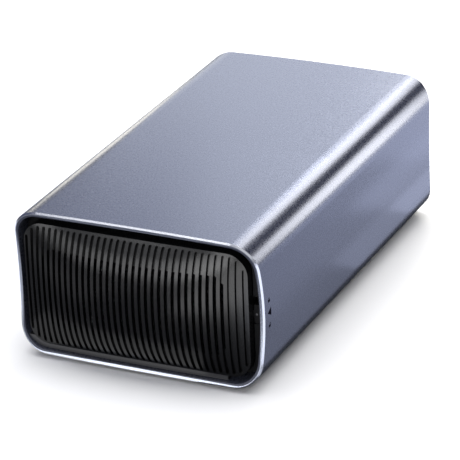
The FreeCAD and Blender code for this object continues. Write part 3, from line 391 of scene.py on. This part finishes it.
class ENCLOSURE_OT_sleeve(Operator):
    """Dress the anodised sleeve with its bright machined rims"""
    bl_idname = "enclosure.sleeve"
    bl_label = "Dress sleeve"

    def execute(self, context):
        look = settings().sleeve
        made, tree, shader = new_material("anodised_sleeve", metallic=1.0)
        grains = use_group(tree, grain_group(), Scale=1.0 / look.grain, Cloud=0.06)
        shade = grains.outputs["Shade"]
        base = mix_node(tree, shade, rgba(look.body_colour), rgba(look.fleck_colour))
        rough = ramp_node(tree, shade, 0.0, 1.0, look.roughness - 0.02, look.roughness + 0.02)
        bevel = facing(tree, "Y", 0.30, 0.42)
        end_face = facing(tree, "Y", 0.86, 0.92)
        base = mix_node(tree, bevel, base, rgba(look.bevel_colour))
        base = mix_node(tree, end_face, base, rgba(look.rim_colour))
        wear = use_group(tree, edge_group(), Radius=0.0004, Patchiness=0.3)
        edge = math_node(tree, "MULTIPLY", wear.outputs["Mask"], 0.4)
        base = mix_node(tree, edge, base, rgba(look.bevel_colour))
        rough = math_node(tree, "SUBTRACT", rough, math_node(tree, "MULTIPLY", bevel, 0.06))
        inner = self.inner_mask(tree)
        base = mix_node(tree, inner, base, rgba(look.inner_colour))
        metal = math_node(tree, "SUBTRACT", 1.0, math_node(tree, "MULTIPLY", inner, 0.8))
        relief = feed(tree, put(tree, "Bump"), ("Strength", 0.02), ("Distance", 0.00005),
                      ("Height", grains.outputs["Height"]))
        feed(tree, shader, ("Base Color", base), ("Roughness", rough), ("Metallic", metal),
             ("Normal", relief.outputs["Normal"]))
        dress(made, "outer_shell")
        return {"FINISHED"}

    def inner_mask(self, tree):
        """Mask of the surfaces inside the sleeve, by how deep they lie in its rounded section."""
        low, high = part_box("outer_shell")
        split = put(tree, "SeparateXYZ")
        feed(tree, split, (0, put(tree, "TexCoord").outputs["Object"]))
        corner = 14.0 * MM
        aside = math_node(tree, "ABSOLUTE", split.outputs["X"])
        across = math_node(tree, "SUBTRACT", aside, high.x - corner)
        lift = math_node(tree, "SUBTRACT", split.outputs["Z"], (low.z + high.z) / 2)
        straight = (high.z - low.z) / 2 - corner
        upright = math_node(tree, "SUBTRACT", math_node(tree, "ABSOLUTE", lift), straight)
        reach = put(tree, "CombineXYZ")
        feed(tree, reach, (0, math_node(tree, "MAXIMUM", across, 0.0)),
             (1, math_node(tree, "MAXIMUM", upright, 0.0)))
        distance = put(tree, "VectorMath", operation="LENGTH")
        feed(tree, distance, (0, reach.outputs[0]))
        outermost = corner - 1.85 * MM
        innermost = corner - 2.05 * MM
        return ramp_node(tree, distance.outputs["Value"], outermost, innermost)


class ENCLOSURE_OT_front(Operator):
    """Dress the slatted cover, the frame behind it and the sliders"""
    bl_idname = "enclosure.front"
    bl_label = "Dress front"

    def execute(self, context):
        look = settings().front
        # The slats' side walls get a painted shade colour in place of the shade that falls in the slits.
        slats = grained("satin_slats", look.slat_colour, lighter(look.slat_colour, 1.7), look.roughness,
                        grain=look.texture, bump=0.10, specular=0.55, edge=lighter(look.slat_colour, 3.0),
                        edge_radius=0.0002, dust=0.02, painted_wall_shade=look.painted_slit_shade)
        dress(slats, "grille_cover")
        black = grained("frame_plastic", look.frame_colour, lighter(look.frame_colour, 1.8), 0.42,
                        grain=look.texture * 1.4, bump=0.12, specular=0.12,
                        edge=lighter(look.frame_colour, 3.0), edge_radius=0.0003)
        dress(black, "front_frame", "lock_slider")
        grey = grained("slider_plastic", (0.020, 0.020, 0.022), (0.034, 0.034, 0.037), 0.4,
                       grain=0.0002, edge=(0.12, 0.12, 0.13), edge_radius=0.0002)
        dress(grey, "mode_slider_1", "mode_slider_2")
        self.lip_bead()
        self.lock_dot()
        return {"FINISHED"}

    def lip_bead(self):
        """Rounded bead over the flat front of the frame's lower lip, coloured lighter than the frame as
        painted light on the lip.
        """
        front_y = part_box("front_frame")[0].y
        source = bmesh.new()
        source.from_mesh(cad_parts["front_frame"].data)
        hidden = [face for face in source.faces if any(v.co.y > front_y + 0.01 * MM for v in face.verts)]
        bmesh.ops.delete(source, geom=hidden, context="FACES")
        bmesh.ops.remove_doubles(source, verts=source.verts[:], dist=1e-6)
        bmesh.ops.dissolve_faces(source, faces=source.faces[:])

        def largest():
            return max(source.faces, key=lambda face: face.calc_area())

        lip = largest()
        others = [face for face in source.faces if face is not lip]
        bmesh.ops.delete(source, geom=others, context="FACES")
        for inset, rise in LIP_STEPS:
            bmesh.ops.inset_region(source, faces=[largest()], thickness=inset * MM, depth=rise * MM,
                                   use_even_offset=True)
        for face in source.faces:
            face.smooth = True
        # Painted light: this plastic is several times lighter than the black frame it covers, so the lip
        # looks lit.
        satin = grained("lip_plastic_painted_light", (0.024, 0.024, 0.026), (0.034, 0.034, 0.036), 0.32, grain=0.0003,
                        bump=0.06, specular=1.0)
        mesh_piece("lip_bead", source, satin, "enclosure")

    def lock_dot(self):
        """Small grey dot on the front of the lock slider."""
        low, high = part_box("lock_slider")
        shape = bmesh.new()
        aside = 0.4 * MM
        above = 4.3 * MM
        middle = Vector(((low.x + high.x) / 2 + aside, low.y, low.z + above))
        rings = []
        for radius, rise in DOT_RINGS:
            ring = []
            for step in range(DOT_SIDES):
                angle = math.tau * step / DOT_SIDES
                spot = Vector((radius * math.cos(angle), -rise, radius * math.sin(angle)))
                ring.append(shape.verts.new(middle + spot * MM))
            rings.append(ring)
        for ring, following in zip(rings, rings[1:]):
            for step in range(DOT_SIDES):
                after = (step + 1) % DOT_SIDES
                shape.faces.new((ring[step], ring[after], following[after], following[step]))
        shape.faces.new(rings[0])
        shape.faces.new(rings[-1])
        bmesh.ops.recalc_face_normals(shape, faces=shape.faces[:])
        grey = grained("dot_paint", (0.07, 0.07, 0.075), (0.10, 0.10, 0.105), 0.4, grain=0.0003, bump=0.02)
        mesh_piece("lock_dot", shape, grey, "lock")


class ENCLOSURE_OT_feet(Operator):
    """Dress the rubber feet"""
    bl_idname = "enclosure.feet"
    bl_label = "Dress feet"

    def execute(self, context):
        rubber = grained("foot_rubber", (0.010, 0.010, 0.010), (0.022, 0.022, 0.022), 0.78, grain=0.0005,
                         bump=0.25, specular=0.25, edge=(0.05, 0.05, 0.05), dust=0.2)
        dress(rubber, *[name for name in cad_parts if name.startswith("foot_")])
        return {"FINISHED"}


class ENCLOSURE_OT_cage(Operator):
    """Dress the sheet metal drive cage"""
    bl_idname = "enclosure.cage"
    bl_label = "Dress cage"

    def execute(self, context):
        made, tree, shader = new_material("cage_sheet", metallic=1.0)
        place = put(tree, "TexCoord").outputs["Object"]
        stretch = feed(tree, put(tree, "Mapping"), ("Vector", place), ("Scale", (900.0, 14.0, 900.0)))
        rolled = feed(tree, put(tree, "TexNoise"), ("Vector", stretch.outputs["Vector"]), ("Scale", 1.0),
                      ("Detail", 3.0))
        streak = ramp_node(tree, rolled.outputs["Fac"], 0.3, 0.7)
        wear = use_group(tree, edge_group(), Radius=0.0004)
        base = mix_node(tree, streak, (0.33, 0.34, 0.355, 1), (0.47, 0.48, 0.50, 1))
        base = mix_node(tree, wear.outputs["Mask"], base, (0.75, 0.76, 0.78, 1))
        relief = feed(tree, put(tree, "Bump"), ("Strength", 0.06), ("Distance", 0.00005),
                      ("Height", rolled.outputs["Fac"]))
        feed(tree, shader, ("Base Color", base), ("Roughness", ramp_node(tree, streak, 0, 1, 0.34, 0.5)),
             ("Normal", relief.outputs["Normal"]))
        sheet = ("cage_", "drive_rail_", "board_post_")
        dress(made, *[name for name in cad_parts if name.startswith(sheet)])
        return {"FINISHED"}


class ENCLOSURE_OT_boards(Operator):
    """Dress the boards and their parts, and add contacts and small parts to them"""
    bl_idname = "enclosure.boards"
    bl_label = "Dress boards"

    def execute(self, context):
        dress(self.laminate(), "backplane_board", "main_board")
        moulded = grained("connector_plastic", (0.010, 0.010, 0.011), (0.020, 0.020, 0.021), 0.5,
                          edge=(0.06, 0.06, 0.06))
        dress(moulded, "drive_connector_lower", "drive_connector_upper", "link_connector", "dc_jack",
              "power_switch", "set_switch", "mode_switch")
        chip = grained("chip_resin", (0.014, 0.014, 0.015), (0.024, 0.024, 0.025), 0.55, grain=0.0003,
                       edge=(0.07, 0.07, 0.07))
        dress(chip, "bridge_chip")
        drawn = grained("drawn_aluminium", (0.36, 0.36, 0.38), (0.50, 0.50, 0.52), 0.32, grain=0.0006,
                        metallic=1.0, edge=(0.8, 0.8, 0.82))
        dress(drawn, "heat_sink", "capacitor_1", "capacitor_2")
        gold = grained("gold_contacts", (0.62, 0.42, 0.12), (0.78, 0.56, 0.20), 0.25, grain=0.0003,
                       metallic=1.0)
        for level in ("lower", "upper"):
            self.contacts(level, gold)
        self.small_parts(moulded, drawn)
        return {"FINISHED"}

    def laminate(self):
        """Lacquered board with tracks under the lacquer."""
        made, tree, shader = new_material("board_laminate", coat=0.35)
        place = put(tree, "TexCoord").outputs["Object"]
        cells = feed(tree, put(tree, "TexVoronoi", feature="DISTANCE_TO_EDGE"), ("Vector", place),
                     ("Scale", 260.0))
        tracks = ramp_node(tree, cells.outputs["Distance"], 0.05, 0.09, 1.0, 0.0)
        grains = use_group(tree, grain_group(), Scale=2600.0)
        base = mix_node(tree, grains.outputs["Shade"], (0.004, 0.030, 0.020, 1), (0.007, 0.043, 0.028, 1))
        base = mix_node(tree, tracks, base, (0.015, 0.085, 0.050, 1))
        relief = feed(tree, put(tree, "Bump"), ("Strength", 0.3), ("Distance", 0.00006), ("Height", tracks))
        feed(tree, shader, ("Base Color", base), ("Roughness", ramp_node(tree, tracks, 0, 1, 0.42, 0.3)),
             ("Normal", relief.outputs["Normal"]))
        return made

    def contacts(self, level, gold):
        """Rows of spring contacts on the floor of both slots of one drive connector."""
        low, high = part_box(f"drive_connector_{level}")
        shape = bmesh.new()
        middle_z = (low.z + high.z) / 2
        rim = 2.333 * MM
        data_slot = 10 * MM
        power_slot = 21 * MM
        half_width = 0.3 * MM
        rows = ((low.x + rim, 7, data_slot), (high.x - rim - power_slot, 15, power_slot))
        for start, count, room in rows:
            pitch = room / (count + 1)
            for number in range(1, count + 1):
                x = start + pitch * number
                box_into(shape, (x - half_width, low.y + 0.8 * MM, middle_z - 1.1 * MM),
                         (x + half_width, low.y + 4.0 * MM, middle_z - 0.75 * MM))
        soften(shape, 0.08 * MM)
        mesh_piece(f"contacts_{level}", shape, gold, "enclosure")

    def small_parts(self, moulded, drawn):
        """Rows of small parts on the rear face of the backplane and the right face of the main board."""
        low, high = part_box("main_board")
        shape = bmesh.new()
        for row in range(5):
            for column in range(3):
                y = low.y + (9.5 + 3.1 * column) * MM
                z = low.z + (4.0 + 2.6 * row) * MM
                box_into(shape, (high.x, y, z), (high.x + 0.8 * MM, y + 1.6 * MM, z + 0.9 * MM))
        soften(shape, 0.12 * MM)
        mesh_piece("board_chips", shape, moulded, "enclosure")
        low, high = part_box("backplane_board")
        shape = bmesh.new()
        for column in range(8):
            x = low.x + (58 + 4.2 * column) * MM
            box_into(shape, (x, high.y, high.z - 12 * MM),
                     (x + 2.0 * MM, high.y + 1.0 * MM, high.z - 10.8 * MM))
        soften(shape, 0.12 * MM)
        mesh_piece("backplane_parts", shape, drawn, "enclosure")


class ENCLOSURE_OT_rear(Operator):
    """Dress the rear panel, its ports and buttons, and the fan"""
    bl_idname = "enclosure.rear"
    bl_label = "Dress rear"

    def execute(self, context):
        look = settings().front
        panel = grained("panel_plastic", (0.010, 0.010, 0.011), (0.021, 0.021, 0.022), 0.5, grain=0.0007,
                        bump=0.35, specular=0.4, edge=(0.07, 0.07, 0.07), dust=0.06)
        dress(panel, "rear_panel")
        fan = grained("fan_plastic", (0.008, 0.008, 0.009), (0.015, 0.015, 0.016), 0.45, grain=0.0005,
                      bump=0.15, edge=(0.05, 0.05, 0.05), dust=0.15)
        dress(fan, "fan_frame", "fan_rotor")
        gloss = grained("button_gloss", look.frame_colour, lighter(look.frame_colour, 1.5), 0.2, spread=0.03,
                        bump=0.02, edge=(0.08, 0.08, 0.08), coat=0.4)
        dress(gloss, "power_button", "set_button")
        steel = grained("plated_steel", (0.42, 0.42, 0.43), (0.55, 0.55, 0.56), 0.28, grain=0.0003,
                        metallic=1.0, edge=(0.8, 0.8, 0.8), edge_radius=0.0001)
        dress(steel, "usb_port", "shell_screws", "cage_top_screws", "cage_floor_screws", "board_screws",
              "panel_screws", "fan_screws", "frame_screws")
        return {"FINISHED"}


class ENCLOSURE_OT_screws(Operator):
    """Replace the visible screws with cross-recessed ones"""
    bl_idname = "enclosure.screws"
    bl_label = "Detail screws"

    def execute(self, context):
        black = grained("blackened_steel", (0.035, 0.035, 0.037), (0.06, 0.06, 0.062), 0.34, grain=0.0003,
                        metallic=1.0, edge=(0.35, 0.35, 0.36), edge_radius=0.0001)
        self.pan_heads("panel_screws", black, "panel_screw_heads")
        self.pan_heads("fan_screws", black, "fan_screw_heads")
        return {"FINISHED"}

    def pan_heads(self, node, material, name):
        """Pan heads with a cross recess in place of a node's plain ones, shank included."""
        look = settings().screws
        for number, (centre, head, seat, top, shank, bottom) in enumerate(self.measure(node)):
            shape = bmesh.new()
            profile = self.head_profile(head, seat, top, shank, bottom)
            spin = [shape.verts.new((radius, y, 0.0)) for radius, y in profile]
            edges = [shape.edges.new(pair) for pair in zip(spin, spin[1:])]
            bmesh.ops.spin(shape, geom=spin + edges, cent=(0, 0, 0), axis=(0, 1, 0), angle=math.tau,
                           steps=look.sides, use_merge=True)
            bmesh.ops.remove_doubles(shape, verts=shape.verts[:], dist=1e-7)
            bmesh.ops.recalc_face_normals(shape, faces=shape.faces[:])
            piece = mesh_piece(f"{name}_{number + 1}", shape, material, "enclosure")
            self.cut_cross(piece, head * look.recess_share, top, look.recess_depth)
            piece.data.transform(Matrix.Translation((centre[0], 0.0, centre[1])))
            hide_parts(node)
            for polygon in piece.data.polygons:
                polygon.use_smooth = True
            piece.data.set_sharp_from_angle(angle=math.radians(35))

    def measure(self, node):
        """Centre, radii and ends along Y of each screw of a node."""
        low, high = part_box(node)
        points = [vertex.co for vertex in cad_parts[node].data.vertices]
        split_x = (low.x + high.x) / 2
        split_z = (low.z + high.z) / 2
        for right in (False, True):
            for upper in (False, True):
                own = [p for p in points if (p.x > split_x) == right and (p.z > split_z) == upper]
                x = (min(p.x for p in own) + max(p.x for p in own)) / 2
                z = (min(p.z for p in own) + max(p.z for p in own)) / 2
                reach = [math.hypot(p.x - x, p.z - z) for p in own]
                head = max(reach)
                seat = min(p.y for p, r in zip(own, reach) if r > head * 0.98)
                bottom = min(p.y for p in own)
                shank = max(r for p, r in zip(own, reach) if p.y < bottom + 1e-6)
                yield (x, z), head, seat, max(p.y for p in own), shank, bottom

    def head_profile(self, head, seat, top, shank, bottom):
        """Half section from the tip of the shank to the domed top."""
        thick = top - seat
        dome_start = 0.45
        dome_inset = 0.28
        dome_steps = 6
        section = [(0.0, bottom), (shank * 0.7, bottom), (shank, bottom + shank * 0.4), (shank, seat),
                   (head * 0.96, seat), (head, seat + thick * 0.08), (head, seat + thick * dome_start)]
        for step in range(1, dome_steps + 1):
            angle = math.radians(90 / dome_steps * step)
            radius = head * (1 - dome_inset * (1 - math.cos(angle)))
            section.append((radius, seat + thick * (dome_start + dome_start * math.sin(angle))))
        section += [(head * 0.45, seat + thick * 0.97), (0.0, top)]
        return section

    def cut_cross(self, piece, reach, top, depth):
        """Cut a tapered cross into the head."""
        shape = bmesh.new()
        arm = reach * 0.17
        taper = 0.6
        for wide, tall in ((reach, arm), (arm, reach)):
            corners = box_into(shape, (-wide, top - depth, -tall), (wide, top + depth, tall))
            for corner in corners:
                if corner.co.y < top:
                    corner.co.x *= taper
                    corner.co.z *= taper
        cutter_mesh = bpy.data.meshes.new("cross_cutter")
        shape.to_mesh(cutter_mesh)
        shape.free()
        cutter = bpy.data.objects.new("cross_cutter", cutter_mesh)
        bpy.context.scene.collection.objects.link(cutter)
        cutting = piece.modifiers.new("cross", "BOOLEAN")
        cutting.object = cutter
        cutting.solver = "EXACT"
        cutting.use_self = True
        bpy.context.view_layer.update()
        result = bpy.data.meshes.new_from_object(piece.evaluated_get(bpy.context.evaluated_depsgraph_get()))
        piece.modifiers.clear()
        old = piece.data
        piece.data = result
        bpy.data.meshes.remove(old)
        bpy.data.objects.remove(cutter)
        bpy.data.meshes.remove(cutter_mesh)


class ENCLOSURE_OT_marks(Operator):
    """Print plain signs beside the lock and on the rear panel"""
    bl_idname = "enclosure.marks"
    bl_label = "Print marks"

    def execute(self, context):
        look = settings().marks
        ink = grained("dark_ink", look.ink_colour, lighter(look.ink_colour, 1.6), 0.5, grain=0.0003,
                      bump=0.02, specular=0.0)
        pale = grained("pale_ink", look.pale_ink_colour, lighter(look.pale_ink_colour, 1.15), 0.5,
                       grain=0.0003, bump=0.02)
        self.lock_signs(ink)
        self.port_signs(pale)
        return {"FINISHED"}

    def lock_signs(self, ink):
        """Arrow at the lock's rest, with an open and a closed padlock below and above it."""
        look = settings().marks
        low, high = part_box("outer_shell")
        middle_z = (low.z + high.z) / 2
        bow = 370.2 * MM
        rim_depth = 5.5 * MM
        film = 0.008 * MM

        def place(u, v, lift):
            sag = v * v / (2 * bow)
            return (high.x - sag - 1.5 * film + lift, low.y + rim_depth + look.from_rim + u, middle_z + v)

        shape = bmesh.new()
        half = look.arrow / 2
        point = half * 0.9
        for edge in (-half, half):
            corners = [(-point, 0.0), (point, min(edge, 0.0)), (point, max(edge, 0.0))]
            plate(shape, corners, place, 2 * film)
        padlock = look.arrow * 0.54
        for sign, shut in ((-1, False), (1, True)):
            self.padlock(shape, place, sign * look.pitch, padlock, shut, 2 * film)
        mesh_piece("lock_signs", shape, ink, "enclosure")

    def padlock(self, shape, place, v, size, shut, thickness):
        """Small padlock sign: a body and a bow."""
        plate(shape, rectangle(0.0, v - size * 0.22, size * 0.9, size * 0.56), place, thickness)
        turn = 0.0 if shut else 0.22 * size
        ring_outline(shape, place, (turn, v + size * 0.12), size * 0.28, size * 0.13, 0.0, math.pi, 10,
                     thickness)

    def port_signs(self, pale):
        """Signs for power, reset, supply and the two switch positions on the rear panel."""
        face_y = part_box("rear_panel")[1].y
        film = 0.03 * MM
        stroke = 0.34 * MM
        button_gap = 8.0 * MM
        jack_gap = 8.6 * MM
        switch_gap = 6.2 * MM

        def place(u, v, lift):
            return (u, face_y + lift - film / 2, v)

        def middle(name):
            a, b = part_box(name)
            return (a + b) / 2

        shape = bmesh.new()
        power = middle("power_button")
        spot = (power.x + button_gap, power.z)
        ring_outline(shape, place, spot, 1.5 * MM, 0.32 * MM, math.radians(120), math.radians(420), 24, film)
        plate(shape, rectangle(spot[0], spot[1] + 1.3 * MM, stroke, 1.7 * MM), place, film)
        jack = middle("dc_jack")
        left = jack.x + jack_gap
        plate(shape, rectangle(left, jack.z + 0.7 * MM, 3.2 * MM, stroke), place, film)
        for number in (-1, 0, 1):
            dash = rectangle(left + number * 1.2 * MM, jack.z - 0.5 * MM, 0.8 * MM, stroke)
            plate(shape, dash, place, film)
        mode = middle("mode_switch")
        for number in (1, 2):
            slider = middle(f"mode_slider_{number}")
            for dot in range(number):
                spot = (mode.x + switch_gap + dot * 1.3 * MM, slider.z)
                ring_outline(shape, place, spot, 0.25 * MM, 0.5 * MM, 0.0, math.tau * 0.999, 16, film)
        reset = middle("set_button")
        ring_outline(shape, place, (reset.x + switch_gap, reset.z), 1.0 * MM, 0.3 * MM, math.radians(30),
                     math.radians(330), 20, film)
        mesh_piece("port_signs", shape, pale, "enclosure")


class ENCLOSURE_OT_stage(Operator):
    """Lay the floor and set up lights and camera"""
    bl_idname = "enclosure.stage"
    bl_label = "Set up studio"

    def execute(self, context):
        look = settings().studio
        scene = context.scene
        scene.view_settings.view_transform = "Standard"
        self.floor(look)
        self.surroundings(scene, look)
        self.softboxes(look)
        self.cards(look)
        self.camera(scene, look)
        return {"FINISHED"}

    def softboxes(self, look):
        """Lights above, behind and in front of the part."""
        self.softbox("overhead", (0.03, 0.2, 1.5), (0.03, 0.2, 0.0), (2.4, 1.1), look.overhead)
        self.softbox("bevel_strip", (-0.6, -0.72, 1.2), (0.0, -0.1, 0.07), (0.9, 0.24), look.streak * 2.3)
        self.softbox("border_glow", (-0.42, -0.77, 0.64), (0.0, -0.105, 0.06), (0.3, 0.3),
                     look.streak * 0.25)
        self.behind("rear", (-0.37, 0.00), (0.06, 0.32), look.rear, (1.0, 1.02, 1.01))
        self.behind("rear_right", (-0.13, 0.02), (0.16, 0.44), look.streak * 1.15, (1.0, 1.0, 0.95))
        self.behind("glow", (-0.27, -0.03), (0.31, 0.50), look.streak * 0.25, (1.0, 1.03, 1.02))
        self.behind("left_glow", (-0.50, -0.22), (0.31, 0.52), look.streak * 0.14, (1.0, 1.05, 1.16))
        self.behind("shoulder", (-0.11, -0.03), (0.28, 0.52), look.streak * 0.5)
        self.behind("upper_streak", (-0.03, 0.16), (0.28, 0.54), look.streak * 1.1)
        self.behind("lower_streak", (0.29, 0.47), (0.01, 0.235), look.streak * 1.07)
        self.behind("left_streak", (-0.52, -0.36), (0.04, 0.18), look.streak * 0.3)
        self.softbox("front_right", (0.05, -1.2, 0.31), (0.05, 0.0, 0.31), (0.5, 0.56), look.front)
        self.softbox("front_left", (-0.6, -1.2, 0.31), (-0.6, 0.0, 0.31), (0.8, 0.56), look.front * 0.72)

    def cards(self, look):
        """Faint cards on the floor that the rims, the cover and the sides mirror."""
        blue = (1.0, 1.05, 1.22)
        self.card("front_card", (0.0, 0.20), (-0.60, -0.19), look.card * 2.1)
        self.card("rim_card", (-0.22, -0.07), (-0.32, -0.16), look.card * 0.36)
        self.card("edge_card", (-0.08, 0.03), (-0.124, -0.100), look.card * 0.45)
        self.card("corner_card", (0.075, 0.30), (-0.24, -0.115), look.card * 0.9, blue)
        self.card("fade_card", (0.20, 0.32), (0.28, REAR_Y), look.card * 1.3)
        self.card("left_card", (-0.30, -0.066), (-0.08, REAR_Y), look.card * 0.7, blue)
        for strip, near, far, shift, part in SIDE_STRIPS:
            for place, start, level in SIDE_CARDS:
                self.card(f"{place}_{strip}_card", (near, far), (start + shift, REAR_Y),
                          look.card * level * part, blue)

    def floor(self, look):
        """Pale paper floor, dimmer where the part mirrors it."""
        shape = bmesh.new()
        bmesh.ops.create_grid(shape, x_segments=8, y_segments=8, size=6.0)
        data = bpy.data.meshes.new("floor")
        shape.to_mesh(data)
        shape.free()
        piece = bpy.data.objects.new("floor", data)
        bpy.context.scene.collection.objects.link(piece)
        paper, tree, shader = new_material("floor_paper", specular=0.1)
        grains = use_group(tree, grain_group(), Scale=500.0)
        seen = put(tree, "LightPath").outputs["Is Camera Ray"]
        shade = mix_node(tree, seen, rgba(look.floor_shade), rgba(look.floor_colour))
        rough = ramp_node(tree, grains.outputs["Shade"], 0.0, 1.0, 0.82, 0.9)
        feed(tree, shader, ("Base Color", shade), ("Roughness", rough))
        data.materials.append(paper)

    def surroundings(self, scene, look):
        """Dim room for reflections, paler at the right front, and pale behind the object."""
        world = bpy.data.worlds.new("studio")
        world.use_nodes = True
        tree = world.node_tree
        back = tree.nodes["Background"]
        seen = put(tree, "LightPath").outputs["Is Camera Ray"]
        turn = put(tree, "VectorMath", operation="DOT_PRODUCT")
        feed(tree, turn, (0, put(tree, "TexCoord").outputs["Generated"]), (1, (0.62, -0.72, 0.30)))
        ahead = ramp_node(tree, turn.outputs["Value"], 0.3, 0.95)
        dim = look.sky
        pale = look.room
        room = mix_node(tree, ahead, (dim, dim * 1.1, dim * 1.8, 1.0), (pale, pale * 1.02, pale * 1.08, 1.0))
        shade = mix_node(tree, seen, room, (0.93, 0.93, 0.94, 1.0))
        tree.links.new(shade, back.inputs["Color"])
        scene.world = world

    def softbox(self, name, place, target, size, power, tint=(1.0, 1.0, 1.0)):
        """Rectangular soft light aimed at a point."""
        light = bpy.data.lights.new(name, "AREA")
        light.shape = "RECTANGLE"
        light.size, light.size_y = size
        light.energy = power
        light.color = tint
        lamp = bpy.data.objects.new(name, light)
        bpy.context.scene.collection.objects.link(lamp)
        lamp.location = place
        lamp.visible_camera = False
        lamp.rotation_mode = "QUATERNION"
        lamp.rotation_quaternion = (Vector(target) - Vector(place)).to_track_quat("-Z", "Y")

    def behind(self, name, across, upright, power, tint=(1.0, 0.95, 0.79)):
        """Upright light half a metre behind the object, between the given limits."""
        place = Vector((sum(across) / 2, REAR_Y, sum(upright) / 2))
        size = (across[1] - across[0], upright[1] - upright[0])
        self.softbox(name, place, place - Vector((0.0, 1.0, 0.0)), size, power, tint)

    def card(self, name, across, along, level, tint=(1.0, 1.0, 1.0)):
        """Faint light on the floor that looks up, of the given brightness between the given limits."""
        place = Vector((sum(across) / 2, sum(along) / 2, CARD_Z))
        size = (across[1] - across[0], along[1] - along[0])
        power = level * math.pi * size[0] * size[1]
        self.softbox(name, place, place + Vector((0.0, 0.0, 1.0)), size, power, tint)

    def camera(self, scene, look):
        """Camera at the photograph's angle, long lens, slightly rolled."""
        data = bpy.data.cameras.new("photo_camera")
        data.sensor_width = 36.0
        data.lens = look.lens
        data.clip_start = 0.05
        data.clip_end = 50.0
        camera = bpy.data.objects.new("photo_camera", data)
        scene.collection.objects.link(camera)
        camera.matrix_world = Matrix.Translation(CAMERA_PLACE) @ Matrix(CAMERA_TURN).to_4x4()
        scene.camera = camera


OPERATORS = (ENCLOSURE_OT_sleeve, ENCLOSURE_OT_front, ENCLOSURE_OT_feet, ENCLOSURE_OT_cage,
             ENCLOSURE_OT_boards, ENCLOSURE_OT_rear, ENCLOSURE_OT_screws, ENCLOSURE_OT_marks,
             ENCLOSURE_OT_stage)


class ENCLOSURE_PT_looks(Panel):
    """Looks of the drive enclosure"""
    bl_idname = "ENCLOSURE_PT_looks"
    bl_label = "Enclosure"
    bl_space_type = "VIEW_3D"
    bl_region_type = "UI"
    bl_category = "Enclosure"

    def draw(self, context):
        column = self.layout.column()
        for group in EnclosureSettings.__annotations__:
            part = getattr(context.scene.enclosure, group)
            column.label(text=group.capitalize())
            for prop in type(part).__annotations__:
                column.prop(part, prop)
        for operator in OPERATORS:
            column.operator(operator.bl_idname)


CLASSES = (SleeveFinish, FrontFinish, MarkSizes, ScrewDetail, StudioSetup, EnclosureSettings, *OPERATORS,
           ENCLOSURE_PT_looks)


def register():
    for item in CLASSES:
        bpy.utils.register_class(item)
    bpy.types.Scene.enclosure = PointerProperty(type=EnclosureSettings, name="Enclosure",
                                                description="Looks of the drive enclosure")


def unregister():
    del bpy.types.Scene.enclosure
    for item in reversed(CLASSES):
        bpy.utils.unregister_class(item)


def main():
    register()
    for operator in OPERATORS:
        group, name = operator.bl_idname.split(".")
        getattr(getattr(bpy.ops, group), name)()


if __name__ == "__main__":
    main()
